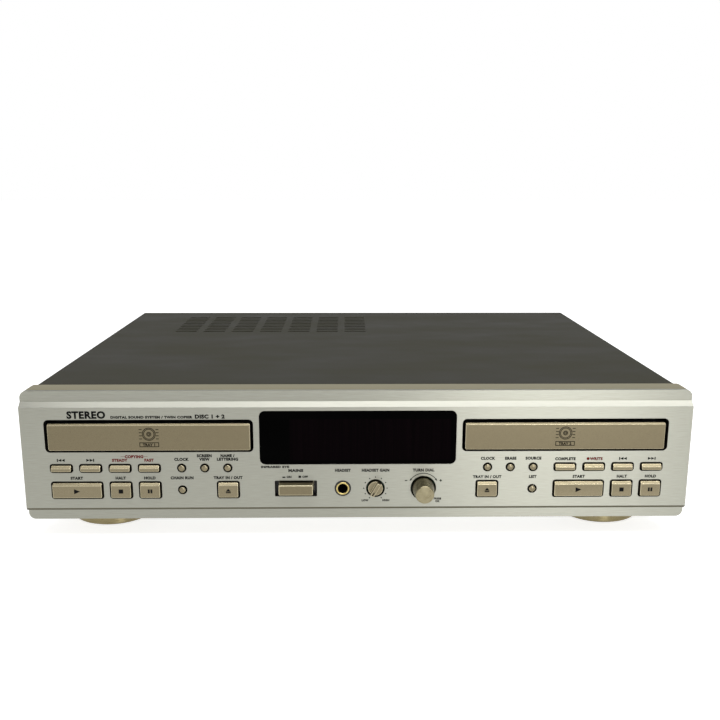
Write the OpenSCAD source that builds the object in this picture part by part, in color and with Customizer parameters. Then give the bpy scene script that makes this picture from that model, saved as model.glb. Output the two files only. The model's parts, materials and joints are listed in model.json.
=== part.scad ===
// Disc recorder with two trays: aluminium front, sheet steel case, four round feet.
// Millimetres. +Z is up, the front faces -Y, and the origin is on the floor under the middle.
// Sub-parts are drawn with y measured back from the main face of the front panel.

/* [Front panel] */
// Width of the front panel
panel_w = 435.6; // [432:0.2:450]
// Height of the strip below the main face
lower_band_h = 9; // [7:0.5:12]
// Height of the main face, which holds the controls
face_h = 68.3; // [68:0.1:80]
// Height of the bevel over the main face
bevel_h = 3.1; // [3:0.1:6]
// Height of the small bevel under the main face
lower_bevel_h = 1.6; // [0.5:0.1:2]
// Depth of the small bevel
lower_bevel_d = 1; // [0.5:0.1:2]
// Height of the strip above the bevel
upper_band_h = 7.1; // [6:0.1:12]
// How far both strips lie behind the main face
band_setback = 3.5; // [2.5:0.5:5]
// Wall of the panel
panel_t = 3; // [2:0.5:4]
// Corner radius of the panel
panel_corner_r = 4.5; // [1:0.5:5]
// Wall of the moulded frame behind the panel
frame_t = 2.5; // [2:0.25:3.5]
// Depth from the main face to the front edge of the cover
frame_d = 21; // [19:0.5:26]

/* [Case] */
// How far the cover's sides lie inside the panel's
cover_inset = 5; // [3:0.5:6]
// Depth of the cover
cover_d = 302; // [290:1:330]
// Sheet of the cover
cover_t = 1; // [0.8:0.1:1.5]
// Bend radius of the cover's long edges
cover_bend_r = 2; // [1.6:0.2:4]
// Height of the lip that the cover turns down over the rear panel
lip_h = 12; // [9:0.5:15]
// Sheet of the base and of the rear panel
base_t = 1.2; // [0.8:0.1:1.6]
// Height of the base's upturned edges
edge_h = 12; // [10:0.5:14]
// Room between sheets that slide past each other when the case is closed
sheet_gap = 0.3; // [0.2:0.05:0.5]

/* [Vents] */
// Columns of vent slots in the cover
vent_columns = 7; // [3:1:8]
// Rows of vent slots
vent_rows = 10; // [4:1:11]
// Length of a slot
vent_l = 19.5; // [12:0.5:22]
// Width of a slot
vent_w = 3.2; // [2:0.2:5]
// Pitch of the columns
vent_pitch_x = 25.1; // [23:0.1:27]
// Pitch of the rows
vent_pitch_y = 8.4; // [6:0.2:9]
// Middle of the block of slots, to the left of the middle of the case
vent_left = 75; // [60:1:90]
// Front row of slots, behind the main face
vent_y = 217; // [200:1:225]

/* [Feet] */
// Height from the floor to the base
foot_h = 13; // [10:0.5:20]
// Diameter of a foot
foot_d = 58; // [46:1:60]
// Distance of the feet from the sides of the cover
foot_inset = 40; // [32:1:60]
// Distance of the front feet behind the main face
foot_front = 50; // [48:1:70]
// Distance of the rear feet in front of the rear panel
foot_rear = 46; // [40:1:60]
// Width of the pad ring
pad_w = 12; // [6:0.5:13]
// Thickness of the pad
pad_t = 2; // [1.5:0.25:3]
// How far the pad stands out of the foot
pad_out = 1; // [0.5:0.1:1.2]

/* [Trays] */
// Distance of the middle of each deck from the side of the panel
deck_edge = 82.6; // [81:0.1:83]
// Width of a tray opening
tray_hole_w = 134.5; // [134:0.5:135]
// Height of a tray opening
tray_hole_h = 21.8; // [20:0.2:22]
// Height of the middle of the tray openings above the lower edge of the main face
tray_hole_z = 49.2; // [48:0.2:52]
// Corner radius of a tray opening
tray_corner_r = 3; // [1.5:0.25:4]
// Corner radius of a door
door_corner_r = 1; // [0.5:0.1:1.6]
// Gap beside a door
door_gap_side = 2.05; // [1:0.05:2.5]
// Gap above a door
door_gap_top = 2.6; // [1:0.1:3]
// Gap below a door
door_gap_below = 1.2; // [0.6:0.1:1.6]
// Thickness of a door
door_t = 5.5; // [5:0.5:8]
// How far a door stands in front of the main face
door_out = 0.1; // [0:0.1:1]
// Width of the slope along a door's upper edge
door_slope = 1; // [0.5:0.1:1.5]
// Travel of a tray
tray_travel = 136; // [120:1:140]
// Width of a tray
tray_w = 128; // [126:0.5:129]
// Length of a tray
tray_l = 196; // [190:1:200]
// Thickness of a tray
tray_t = 6; // [5.6:0.1:6.5]
// Depth of the runners under a tray
runner_h = 3; // [2:0.25:3.5]
// Width of the runners under a tray
runner_w = 5; // [4:0.5:6]
// Room round a disc in its well
disc_gap = 0.5; // [0.3:0.1:1]
// Depth of the well for a disc
well_h = 3.4; // [2:0.1:3.6]
// Diameter of the well for a small disc
small_well_d = 81; // [80.5:0.5:84]
// Depth of the small well below the large one
small_well_h = 1.2; // [0.8:0.1:1.4]
// Distance of the disc's well from the door
well_margin = 6; // [4:0.5:8]
// Width of the slot that the mechanism rises through
slot_w = 46; // [42:1:50]

/* [Loader] */
// Wall of the loader frame
loader_wall = 3; // [2.5:0.25:4]
// Depth of the loader's floor under the middle of the tray opening
loader_drop = 28.5; // [28.5:0.5:32]
// Length of a loader frame
loader_l = 184; // [183:1:190]
// Room at a sliding face
slide_gap = 0.3; // [0.2:0.05:0.5]
// Radial room at a shaft
fit_gap = 0.05; // [0.02:0.01:0.08]
// Width of the ledges that the runners slide on
ledge_w = 6.5; // [5:0.5:8]
// Radius of the legs
leg_r = 4; // [3:0.25:5]
// Width of a clamp bridge
bridge_w = 44; // [40:1:50]
// Thickness of a clamp bridge
bridge_t = 2.5; // [2:0.25:4]
// Radius of the clamper's neck
clamp_neck_r = 9; // [7:0.5:10]
// Radius of the clamper's pad
clamp_r = 16; // [14:0.5:18]

/* [Drive] */
// Module of the teeth
tooth_m = 1; // [0.9:0.05:1.1]
// Teeth of a drive gear
gear_teeth = 24; // [22:1:26]
// Play between the teeth
tooth_play = 0.3; // [0.2:0.05:0.5]
// Height of a drive gear
gear_h = 4; // [3:0.25:4.2]
// Radius of a drive shaft
drive_shaft_r = 2; // [1.5:0.25:2.5]
// Distance of the gears behind the main face
gear_y = 38; // [37:0.5:39]
// Distance of the rack's pitch line from the middle of the tray
rack_x = 50; // [48.5:0.5:50.5]
// Height of a loading motor's gearbox
gearbox_h = 10; // [8:0.5:11]
// Diameter of a loading motor
motor_d = 20; // [16:1:22]
// Height of a loading motor
motor_h = 10; // [8:0.5:11]

/* [Mechanism] */
// Lift of the turntable
lift_h = 9.3; // [8:0.1:9.5]
// Distance from the spindle to the traverse hinge
hinge_run = 100; // [98:1:104]
// Width of a traverse
traverse_w = 76; // [74:1:80]
// Thickness of a traverse
traverse_t = 2.5; // [2:0.25:3]
// Radius of the hinge pins
pin_r = 2.5; // [2:0.25:3]
// Diameter of a spindle motor
spindle_d = 24; // [20:1:26]
// Height of a spindle motor
spindle_h = 6; // [5:0.25:6.5]
// Radius of a turntable
turntable_r = 15; // [13:0.5:16]
// Thickness of a turntable
turntable_t = 3; // [2:0.25:3.5]
// Radius of the hub that centres the disc
hub_r = 7.4; // [7:0.1:7.4]
// Height of the hub
hub_h = 3; // [2:0.25:3.2]
// Radius of the guide rods
rod_r = 1.5; // [1.2:0.1:1.6]
// Distance of the guide rods from the middle
rod_x = 21; // [18:0.5:22]
// Length of a pickup sled
sled_l = 24; // [20:0.5:25]
// Height of a pickup sled
sled_h = 5; // [4.6:0.1:5.2]
// Travel of a pickup sled
sled_travel = 35; // [30:0.5:36]
// Width of a pickup sled
sled_w = 48; // [46:0.5:50]

/* [Keys] */
// Distance of the outer column of keys from the side of the panel
key_edge = 24.8; // [22:0.1:25.3]
// Pitch of the key columns
key_pitch = 19; // [18.6:0.1:19.2]
// Width of a key's hole
key_w = 15; // [13:0.5:15.4]
// Height of an upper key's hole
key_h = 6; // [5:0.25:6.5]
// Height of a lower key's hole
tall_key_h = 12; // [10:0.5:13]
// Height of the upper row above the lower edge of the main face
upper_row_z = 27.4; // [27:0.2:28]
// Height of the lower row above the lower edge of the main face
lower_row_z = 12.4; // [12:0.2:13]
// Corner radius of a key's hole
key_corner_r = 1.8; // [1.3:0.1:2]
// Gap round a key
key_gap = 1.1; // [0.3:0.05:1.2]
// How far a key stands in front of the main face
key_out = 1.6; // [1:0.1:2]
// Travel of a key
key_travel = 0.8; // [0.5:0.1:1]
// Depth of the slope along a key's upper edge
key_slope = 1.5; // [0.8:0.1:1.6]
// Height of that slope
key_slope_h = 1.5; // [0.8:0.1:2]
// Distance from the inner column of keys to the nearest round button
dot_key_gap = 21; // [20:0.5:22]
// Pitch of the round buttons
dot_pitch = 15; // [14:0.25:15.5]
// Diameter of a round button's hole
dot_d = 6; // [5:0.25:6.5]
// Gap round a round button
dot_gap = 1; // [0.3:0.05:1.2]
// How far a round button stands in front of the main face
dot_out = 1.2; // [1:0.1:2]
// Radius of a round button's domed face
dome_r = 5; // [5:0.25:8]
// Rim that holds a key behind the frame
rim = 1.2; // [0.8:0.1:1.3]
// Thickness of that rim
rim_t = 1.2; // [0.8:0.1:1.5]
// Length of the plunger behind a key
plunger_l = 2.3; // [2:0.1:3]
// Height of a key switch
switch_h = 2; // [1.8:0.1:3]

/* [Middle controls] */
// Height of the middle row above the lower edge of the main face
middle_row_z = 13; // [12.5:0.1:13.5]
// Distance between the window and the tray openings
window_margin = 3.95; // [3.5:0.05:8]
// Height of the window
window_h = 36.2; // [32:0.2:37]
// Height of the middle of the window above the lower edge of the main face
window_z = 47.7; // [47:0.1:48.2]
// Corner radius of the window
window_corner_r = 3.8; // [2:0.2:4]
// How far the window lies behind the main face
window_in = 0.4; // [0.2:0.1:1]
// Place of the power button, as a share of the way from the middle to the left eject key
power_at = 0.534; // [0.52:0.001:0.58]
// Width of the power button's hole
power_w = 27.5; // [24:0.5:28]
// Height of the power button's hole
power_h = 10.8; // [9:0.2:11]
// Corner radius of the power button's hole
power_corner_r = 0.6; // [0.4:0.1:2]
// Gap beside the power button
power_gap_side = 2.6; // [1:0.05:3]
// How far the power button stands in front of the main face
power_out = 3.4; // [3.2:0.1:5]
// Travel of the power button
power_travel = 3; // [2:0.1:3]
// Place of the headphone jack, as such a share
jack_at = 0.131; // [0.11:0.001:0.14]
// Diameter of the jack's hole in the panel
jack_hole_d = 10.6; // [10:0.1:11]
// Diameter of the jack's bore
jack_bore_d = 6.5; // [6.4:0.05:6.6]
// Depth of the jack's bore
jack_bore_l = 30; // [28:0.5:31]
// Place of the level knob, as a share of the way to the right eject key
level_at = 0.151; // [0.14:0.001:0.18]
// Diameter of the level knob's hole
level_hole_d = 12.2; // [11.5:0.1:13]
// Diameter of the level knob
level_d = 9.6; // [9:0.1:10]
// How far the level knob's grip stands in front of the main face
level_out = 4.5; // [3:0.1:6]
// Turn of the level knob
level_turn = 300; // [270:1:300]
// Place of the jog knob, as such a share
jog_at = 0.564; // [0.54:0.001:0.6]
// Diameter of the jog knob's hole
jog_hole_d = 16.6; // [16:0.1:18]
// Diameter of the jog knob at the panel
jog_d = 14.6; // [13:0.1:14.6]
// Diameter of the jog knob's face
jog_face_d = 12; // [10:0.1:13]
// How far the jog knob stands in front of the main face
jog_out = 13; // [9:0.5:15]
// Travel of the jog knob's push
jog_push = 0.6; // [0.3:0.1:0.6]

/* [Rear] */
// How far the phono sockets stand behind the case
phono_out = 9; // [8:0.25:11]
// Diameter of a phono socket's barrel
phono_d = 8.3; // [8.2:0.05:8.4]
// Phono pair nearest to the middle, seen from the front to the right of the middle
phono_x = 100; // [95:1:105]
// Pitch of the phono pairs
phono_pitch = 34; // [30:1:36]
// Height of the lower phono sockets above the base
phono_z = 22; // [20:0.5:26]
// Rise from a lower phono socket to the upper one
phono_rise = 16; // [14:0.5:20]
// Optical sockets, to the right of the middle
optical_x = 62; // [58:1:66]
// Distance of the mains inlet from the left side of the cover
inlet_inset = 34; // [30:1:40]
// Height of the mains inlet above the base
inlet_z = 30; // [24:0.5:40]

/* [Hidden] */
$fn = 64;
cut = 1;
disc_d = 120;
// Room between neighbouring pieces of a mechanism
room = 2;
// Room round what is fixed in a hole of the panel
panel_fit = 0.2;
// Places across the case
cover_w = panel_w - 2 * cover_inset;
foot_x = cover_w / 2 - foot_inset;
inlet_left = cover_w / 2 - inlet_inset;
deck_x = panel_w / 2 - deck_edge;
window_w = 2 * (deck_x - tray_hole_w / 2 - window_margin);
key_x = panel_w / 2 - key_edge - 3 * key_pitch;
dot_x = key_x - dot_key_gap - 2 * dot_pitch;
middle_half = dot_x - key_w / 2 - rim;
power_left = power_at * middle_half;
jack_left = jack_at * middle_half;
level_x = level_at * middle_half;
jog_x = jog_at * middle_half;
// Heights
panel_z0 = foot_h;
face_z0 = panel_z0 + lower_band_h;
face_z1 = face_z0 + face_h;
panel_z1 = face_z1 + bevel_h + upper_band_h;
panel_h = panel_z1 - panel_z0;
base_z1 = foot_h + base_t;
cover_z0 = foot_h + base_t / 2;
// Depths behind the main face
band_back = band_setback + panel_t;
wall_back = panel_t + frame_t;
board_y = wall_back + rim_t + plunger_l + key_travel + slide_gap + switch_h;
board_t = 1.6;
body_d = frame_d + cover_d;
rear_out = body_d - cover_t;
rear_in = rear_out - base_t;
face_y = jog_out - (jog_out + rear_out + phono_out) / 2;
// Step of the frame into the back of the panel
step_z0 = face_z0 + panel_t + slide_gap;
step_z1 = face_z1 + bevel_h / 4 - slide_gap;
step_wall = 1.2;
step_side = 1;
web_t = 2;
// Base and rear panel, inside the cover
base_half = cover_w / 2 - cover_t - sheet_gap;
rear_z1 = panel_z1 - cover_t - sheet_gap;
// Key places
function key_column(i) = key_x + i * key_pitch;
function dot_column(i) = dot_x + i * dot_pitch;
wide_key_w = key_w + key_pitch;
// Each key: name, x, height above the lower edge of the main face, shape
KEYS = [
    ["left_skip_back_button", -key_column(3), upper_row_z, "key"],
    ["left_skip_forward_button", -key_column(2), upper_row_z, "key"],
    ["left_copy_normal_button", -key_column(1), upper_row_z, "key"],
    ["left_copy_fast_button", -key_column(0), upper_row_z, "key"],
    ["left_play_button", -key_column(2.5), lower_row_z, "wide"],
    ["left_stop_button", -key_column(1), lower_row_z, "tall"],
    ["left_pause_button", -key_column(0), lower_row_z, "tall"],
    ["left_time_button", -dot_column(2), upper_row_z, "dot"],
    ["left_display_button", -dot_column(1), upper_row_z, "dot"],
    ["left_title_button", -dot_column(0), upper_row_z, "dot"],
    ["left_mode_button", -dot_column(2), lower_row_z, "dot"],
    ["left_eject_button", -dot_column(0), lower_row_z, "tall"],
    ["right_time_button", dot_column(0), upper_row_z, "dot"],
    ["right_clear_button", dot_column(1), upper_row_z, "dot"],
    ["right_input_button", dot_column(2), upper_row_z, "dot"],
    ["right_menu_button", dot_column(2), lower_row_z, "dot"],
    ["right_eject_button", dot_column(0), lower_row_z, "tall"],
    ["right_finalize_button", key_column(0), upper_row_z, "key"],
    ["right_record_button", key_column(1), upper_row_z, "key"],
    ["right_skip_back_button", key_column(2), upper_row_z, "key"],
    ["right_skip_forward_button", key_column(3), upper_row_z, "key"],
    ["right_play_button", key_column(0.5), lower_row_z, "wide"],
    ["right_stop_button", key_column(2), lower_row_z, "tall"],
    ["right_pause_button", key_column(3), lower_row_z, "tall"]
];
function hole_w(shape) = shape == "wide" ? wide_key_w : shape == "dot" ? dot_d : key_w;
function hole_h(shape) = shape == "key" ? key_h : shape == "dot" ? dot_d : tall_key_h;
// Posts that carry the front board, between the keys
post_r = 2.6;
post_gap = 1;
post_z = face_z0 + (upper_row_z + lower_row_z) / 2;
post_xs = [
    dot_column(0) - key_w / 2 - rim - post_r - room,
    (dot_column(2) + dot_d / 2 + key_x - key_w / 2) / 2,
    key_column(3) + key_w / 2 + rim + post_r + post_gap
];
board_half = post_xs[2] + post_r + post_gap;
board_z0 = face_z0 + lower_row_z - tall_key_h / 2 - room;
board_z1 = face_z0 + tray_hole_z - tray_hole_h / 2 - room;
tab_half = deck_x - tray_hole_w / 2 - room;
tab_z1 = face_z0 + window_z + window_h / 2;
// Window, jack, level knob and jog
tube_margin = [5, 4];
jack_body = [14, 16];
jack_floor = 2;
jack_nose = 0.4;
switch_w = 5.5;
power_switch_inset = 4;
middle_z = face_z0 + middle_row_z;
pot_w = 12;
pot_d = 4.5;
level_shaft_r = 2;
level_grip_w = 2.6;
level_face_y = -1;
level_skirt_y = panel_t + 1;
encoder_w = 16;
encoder_d = 5;
jog_back_y = 2;
jog_spindle_r = 3;
sleeve_r = 4.5;
sleeve_y0 = jog_back_y + slide_gap;
sleeve_y1 = board_y - jog_push - slide_gap;
power_gap_top = 1.2;
power_gap_below = 1.8;
power_stem_l = 0.6;
power_slope_d = 3.2;
power_slope_h = 1.1;
power_switch_d = board_y - wall_back - rim_t - power_stem_l - power_travel - slide_gap;
// Deck heights
deck_z = face_z0 + tray_hole_z;
tray_drop = 4;
tray_z0 = deck_z - tray_drop;
tray_z1 = tray_z0 + tray_t;
runner_z0 = tray_z0 - runner_h;
well_z = tray_z1 - well_h;
door_z0 = deck_z - tray_hole_h / 2 + door_gap_below;
door_z1 = deck_z + tray_hole_h / 2 - door_gap_top;
door_back = door_t - door_out;
spindle_y = door_back + well_margin + disc_d / 2 + disc_gap;
floor_z0 = deck_z - loader_drop - loader_wall;
floor_z1 = floor_z0 + loader_wall;
ledge_z1 = runner_z0 - slide_gap;
guide_z0 = tray_z1 + slide_gap;
guide_t = 2;
loader_in = tray_w / 2 + slide_gap;
loader_out = loader_in + loader_wall;
loader_y0 = frame_d + room;
loader_y1 = loader_y0 + loader_l;
bridge_lift = 3.5;
wall_z1 = guide_z0 + guide_t + bridge_lift;
back_wall_h = 14;
// Drive gear and rack
gear_r = tooth_m * gear_teeth / 2;
gear_x = gear_r - rack_x;
gear_gap = 0.8;
rack_over = 0.2;
gear_z0 = tray_z0 - gear_h - gear_gap;
rack_z0 = gear_z0 - rack_over;
rack_body = 3;
tooth_pitch = PI * tooth_m;
pressure_angle = 20;
tooth_top = tooth_m;
tooth_root = 1.25 * tooth_m;
boss_wall = 3;
boss_r = drive_shaft_r + boss_wall;
gearbox_floor = 2;
shaft_z0 = floor_z0 - gearbox_h + gearbox_floor;
gearbox = [44, 26];
motor_shift = 18;
// Mechanism, drawn level as it stands when it is up, then tilted down at rest
hinge_y = spindle_y + hinge_run;
tilt = asin(lift_h / hinge_run);
disc_lift = 1.3;
seat_z = well_z + disc_lift;
turntable_z0 = seat_z - turntable_t;
traverse_gap = 4.4;
plate_z1 = tray_z0 - traverse_gap;
plate_z0 = plate_z1 - traverse_t;
hinge_z = (plate_z0 + plate_z1) / 2;
plate_y0 = gear_y + gear_r + tooth_top + room;
hinge_edge = 1.5;
plate_y1 = hinge_y + pin_r + hinge_edge;
spindle_r = 1;
spindle_floor = 0.6;
spindle_bore_l = spindle_h - spindle_floor;
spindle_hole_r = 4;
spindle_boss_r = 3;
hub_taper = 1;
sled_sink = 1.4;
sled_z0 = plate_z1 - sled_sink;
sled_y0 = spindle_y + spindle_d / 2 + room;
sled_y1 = sled_y0 + sled_l;
lens_back = 9.5;
lens_y = sled_y0 + lens_back;
lens_r = 4;
lens_h = 2;
bay_gap = 1;
bay_y0 = sled_y0 - bay_gap;
bay_y1 = sled_y1 + sled_travel + bay_gap;
rod_z = sled_z0 + sled_h / 2;
rod_grip = 4;
rod_wall = 1;
ear_t = 4;
ear_x = traverse_w / 2 + slide_gap;
ear_half = pin_r + ear_t / 2;
stop_r = 3;
stop_inset = 10;
stop_x = traverse_w / 2 - stop_inset;
stop_y = plate_y0 + stop_r + bay_gap;
// Underside of the tilted traverse over the front edge of its stops
stop_run = hinge_y - stop_y + stop_r;
stop_z1 = hinge_z - stop_run * tan(tilt) - traverse_t / 2 / cos(tilt) - slide_gap;
clamp_gap = 1.8;
clamp_z0 = tray_z1 + clamp_gap;
clamp_t = 2.4;
clamp_flange = 4;
clamp_top_r = clamp_neck_r + clamp_flange;
bridge_hole_r = clamp_neck_r + clamp_flange / 2;
clamp_top_t = 2;
// Rear sockets
block_w = 14;
block_d = 12;
rear_hole_gap = 0.3;
phono_ring_w = 1.6;
phono_ring_r = phono_d / 2 + phono_ring_w;
phono_ring_t = 1;
phono_pin_r = 1.7;
phono_bore_l = 8;
PHONO_XS = [for (i = [0:2]) phono_x + i * phono_pitch];
optical = [11, 11];
optical_out = 1.5;
optical_port = [8, 8];
optical_port_l = 6;
inlet = [22, 14];
inlet_port = [17, 9];
inlet_port_l = 12;
inlet_pin_r = 1.2;
inlet_pin_l = 9;
inlet_pin_gap = 8.6;
inlet_rim = 2;
inlet_rim_t = 1.5;
inlet_wall = 3;
// Screws
screw_r = 1.5;
screw_gap = 0.15;
screw_head_r = 3.2;
screw_head_t = 2;
screw_l = 6;
cross_l = 3.6;
cross_w = 0.8;
cross_h = 1.2;
side_screw_z = base_z1 + edge_h / 2;
side_screw_inset = 40;
side_screw_ys = [frame_d + side_screw_inset, body_d - side_screw_inset];
lip_screw_z = panel_z1 - lip_h / 2;
lip_screw_inset = 62;
lip_screw_x = cover_w / 2 - lip_screw_inset;
lip_screw_xs = [-lip_screw_x, 0, lip_screw_x];
edge_screw_inset = 17;
edge_screw_x = cover_w / 2 - edge_screw_inset;
edge_screw_xs = [-edge_screw_x, -60, 40, edge_screw_x];
foot_screw_r = 2;
foot_screw_over = 2;
foot_sink_r = 5.5;
foot_sink_h = 8;
foot_fillet = 0.8;
foot_wall = 3;
foot_pad_r = foot_d / 2 - foot_wall;
// Boards and transformer
main_board = [250, 88];
main_board_x = 62;
main_board_y = rear_in - screw_l - main_board[1];
standoff_h = 6;
standoff_r = 3;
standoff_edge = 6;
transformer = [62, 50, 46];
transformer_foot_t = 2;
transformer_inset = 6;
transformer_x = transformer[0] / 2 + foot_sink_r + room - foot_x;
transformer_y = rear_in - side_screw_inset - transformer[1];
chip = [24, 24, 3];
CHIP_XS = [60, 110, 170];
chip_y = 30;
can_r = 5;
can_h = 16;
CAN_PLACES = [[24, 14], [29, 28], [34, 42], [39, 56]];

DECKS = [["left", -1], ["right", 1]];
DECK_NODES = [
    "tray", "tray_door", "drive_gear", "traverse", "turntable", "pickup_sled", "clamper"
];

// Moves a sub-part from the main face's frame to the part's own frame
module placed() {
    translate([0, face_y, 0]) children();
}

// Moves a deck's sub-part to the left or the right deck
module at_deck(side) {
    translate([side * deck_x, face_y, 0]) children();
}

// Extrudes an outline drawn in X and Z, from y0 to y1
module plate(y0, y1) {
    translate([0, y1, 0]) rotate([90, 0, 0]) linear_extrude(y1 - y0) children();
}

// Rod along Y, from y0 to y1
module rod(r, y0, y1) {
    plate(y0, y1) circle(r);
}

// Box between two corners
module box(low, high) {
    translate(low) cube(high - low);
}

// Rectangle with round corners, about its middle
module rounded(w, h, r) {
    square([w - 2 * r, h], center = true);
    square([w, h - 2 * r], center = true);
    for (x = [-1, 1], y = [-1, 1])
        translate([x * (w / 2 - r), y * (h / 2 - r)]) circle(r);
}

// Places its children at each of four corners
module at_corners(x, y0, y1) {
    for (side = [-1, 1], y = [y0, y1]) translate([side * x, y, 0]) children();
}

// Outline of one control's hole, widened all round
module key_outline(shape, grow) {
    if (shape == "dot") circle(dot_d / 2 + grow);
    else rounded(hole_w(shape) + 2 * grow, hole_h(shape) + 2 * grow, key_corner_r + grow);
}

// Every hole through the panel and the frame's front wall
module control_holes(y0, y1) {
    for (k = KEYS) translate([k[1], 0, face_z0 + k[2]]) plate(y0, y1) key_outline(k[3], 0);
    for (side = [-1, 1]) translate([side * deck_x, 0, deck_z])
        plate(y0, y1) rounded(tray_hole_w, tray_hole_h, tray_corner_r);
    translate([0, 0, face_z0 + window_z])
        plate(y0, y1) rounded(window_w, window_h, window_corner_r);
    translate([-power_left, 0, middle_z])
        plate(y0, y1) rounded(power_w, power_h, power_corner_r);
    translate([-jack_left, 0, middle_z]) rod(jack_hole_d / 2, y0, y1);
    translate([level_x, 0, middle_z]) rod(level_hole_d / 2, y0, y1);
    translate([jog_x, 0, middle_z]) rod(jog_hole_d / 2, y0, y1);
}

// Outline of the front, drawn in inwards
module front_outline(inset) {
    translate([0, panel_z0 + panel_h / 2])
        rounded(panel_w - 2 * inset, panel_h - 2 * inset, panel_corner_r);
}

// Section of the front panel: depth, height
module panel_section() {
    polygon([
        [band_setback, panel_z0], [band_setback, face_z0 - lower_bevel_h],
        [lower_bevel_d, face_z0 - lower_bevel_h], [0, face_z0], [0, face_z1],
        [band_setback, face_z1 + bevel_h], [band_setback, panel_z1], [band_back, panel_z1],
        [band_back, face_z1 + bevel_h * 5 / 4], [panel_t, face_z1 + bevel_h / 4],
        [panel_t, face_z0 + panel_t], [band_back, face_z0 + panel_t], [band_back, panel_z0]
    ]);
}

module front_panel() {
    color("silver") difference() {
        intersection() {
            translate([-panel_w / 2, 0, 0]) rotate([90, 0, 90]) linear_extrude(panel_w) panel_section();
            plate(-cut, frame_d) front_outline(0);
        }
        control_holes(-cut, panel_t + cut);
    }
}

module front_frame() {
    step_half = panel_w / 2 - step_side;
    color("#8f8a78") {
        difference() {
            union() {
                plate(band_back, frame_d) front_outline(0);
                box([-step_half, panel_t, step_z0], [step_half, band_back + web_t, step_z1]);
            }
            plate(band_back + web_t, frame_d + cut) front_outline(frame_t);
            box([step_wall - step_half, wall_back, step_z0 + step_wall],
                [step_half - step_wall, band_back + web_t + cut, step_z1 - step_wall]);
            control_holes(panel_t - cut, wall_back + cut);
        }
        for (side = [-1, 1], x = post_xs)
            translate([side * x, 0, post_z]) rod(post_r, wall_back, board_y);
    }
}

module display_window() {
    color("#15100f") translate([0, 0, face_z0 + window_z]) {
        plate(window_in, wall_back)
            rounded(window_w - 2 * panel_fit, window_h - 2 * panel_fit, window_corner_r - panel_fit);
        plate(wall_back, wall_back + rim_t)
            rounded(window_w + 2 * rim, window_h + 2 * rim, window_corner_r);
    }
}

module display_tube() {
    tube = [window_w, window_h] - 2 * tube_margin;
    color("#2a1a22") translate([0, 0, face_z0 + window_z])
        plate(wall_back + rim_t + slide_gap, board_y) square(tube, center = true);
}

// Body on the front board, with a bore for the shaft that it takes
module shaft_body(x, w, d, bore_r) {
    translate([x, 0, middle_z]) difference() {
        plate(board_y - d, board_y) square(w, center = true);
        rod(bore_r, board_y - d - cut, board_y);
    }
}

module front_board() {
    jack_room = 2 * slide_gap;
    power_switch = [power_w, power_h / 2] - [2 * power_switch_inset, 0];
    color("darkgreen") {
        difference() {
            union() {
                box([-board_half, board_y, board_z0], [board_half, board_y + board_t, board_z1]);
                box([-tab_half, board_y, board_z0], [tab_half, board_y + board_t, tab_z1]);
            }
            translate([-jack_left, 0, middle_z]) plate(board_y - cut, board_y + board_t + cut)
                square([jack_body[0] + jack_room, jack_body[1] + jack_room], center = true);
        }
        for (k = KEYS) translate([k[1], 0, face_z0 + k[2]])
            plate(board_y - switch_h, board_y) square(switch_w, center = true);
        translate([-power_left, 0, middle_z])
            plate(board_y - power_switch_d, board_y) square(power_switch, center = true);
        shaft_body(level_x, pot_w, pot_d, level_shaft_r + fit_gap);
        shaft_body(jog_x, encoder_w, encoder_d, sleeve_r + fit_gap);
    }
}

module headphone_jack() {
    body_l = jack_bore_l - wall_back + jack_floor;
    color("#242220") translate([-jack_left, 0, middle_z]) difference() {
        union() {
            rod(jack_hole_d / 2 - panel_fit, -jack_nose, wall_back + cut);
            plate(wall_back, wall_back + body_l) square(jack_body, center = true);
        }
        rod(jack_bore_d / 2, -jack_nose - cut, jack_bore_l - jack_nose);
    }
}

// Prism along X under a slope, cut off a cap's upper front edge
module slope_cut(w, y, z, depth, height) {
    translate([-w / 2, 0, 0]) rotate([90, 0, 90]) linear_extrude(w)
        polygon([[y - cut, z - height * (1 + cut / depth)], [y + depth, z],
                 [y + depth, z + cut], [y - cut, z + cut]]);
}

// Rim and plunger behind a key
module key_back(shape) {
    plunger_r = 1.8;
    plate(wall_back, wall_back + rim_t) key_outline(shape, rim);
    rod(plunger_r, wall_back, wall_back + rim_t + plunger_l);
}

// Cap of a round button, with a domed face
module dot_cap() {
    intersection() {
        rod(dot_d / 2 - dot_gap, -dot_out - cut, wall_back + rim_t);
        translate([0, dome_r - dot_out, 0]) sphere(dome_r);
    }
}

// Cap of a rectangular key: a slope along its upper edge and, on the tall ones, a hollow face
module key_cap(shape) {
    scoop_r = 60;
    scoop_h = 0.25;
    difference() {
        plate(-key_out, wall_back + rim_t) key_outline(shape, -key_gap);
        slope_cut(hole_w(shape), -key_out, hole_h(shape) / 2 - key_gap, key_slope, key_slope_h);
        if (shape != "key") translate([0, scoop_h - key_out - scoop_r, -key_slope_h / 2])
            rotate([0, 90, 0]) cylinder(r = scoop_r, h = hole_w(shape), center = true);
    }
}

module key(k) {
    color("#a39a80") translate([k[1], 0, face_z0 + k[2]]) {
        if (k[3] == "dot") dot_cap();
        else key_cap(k[3]);
        key_back(k[3]);
    }
}

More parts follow.
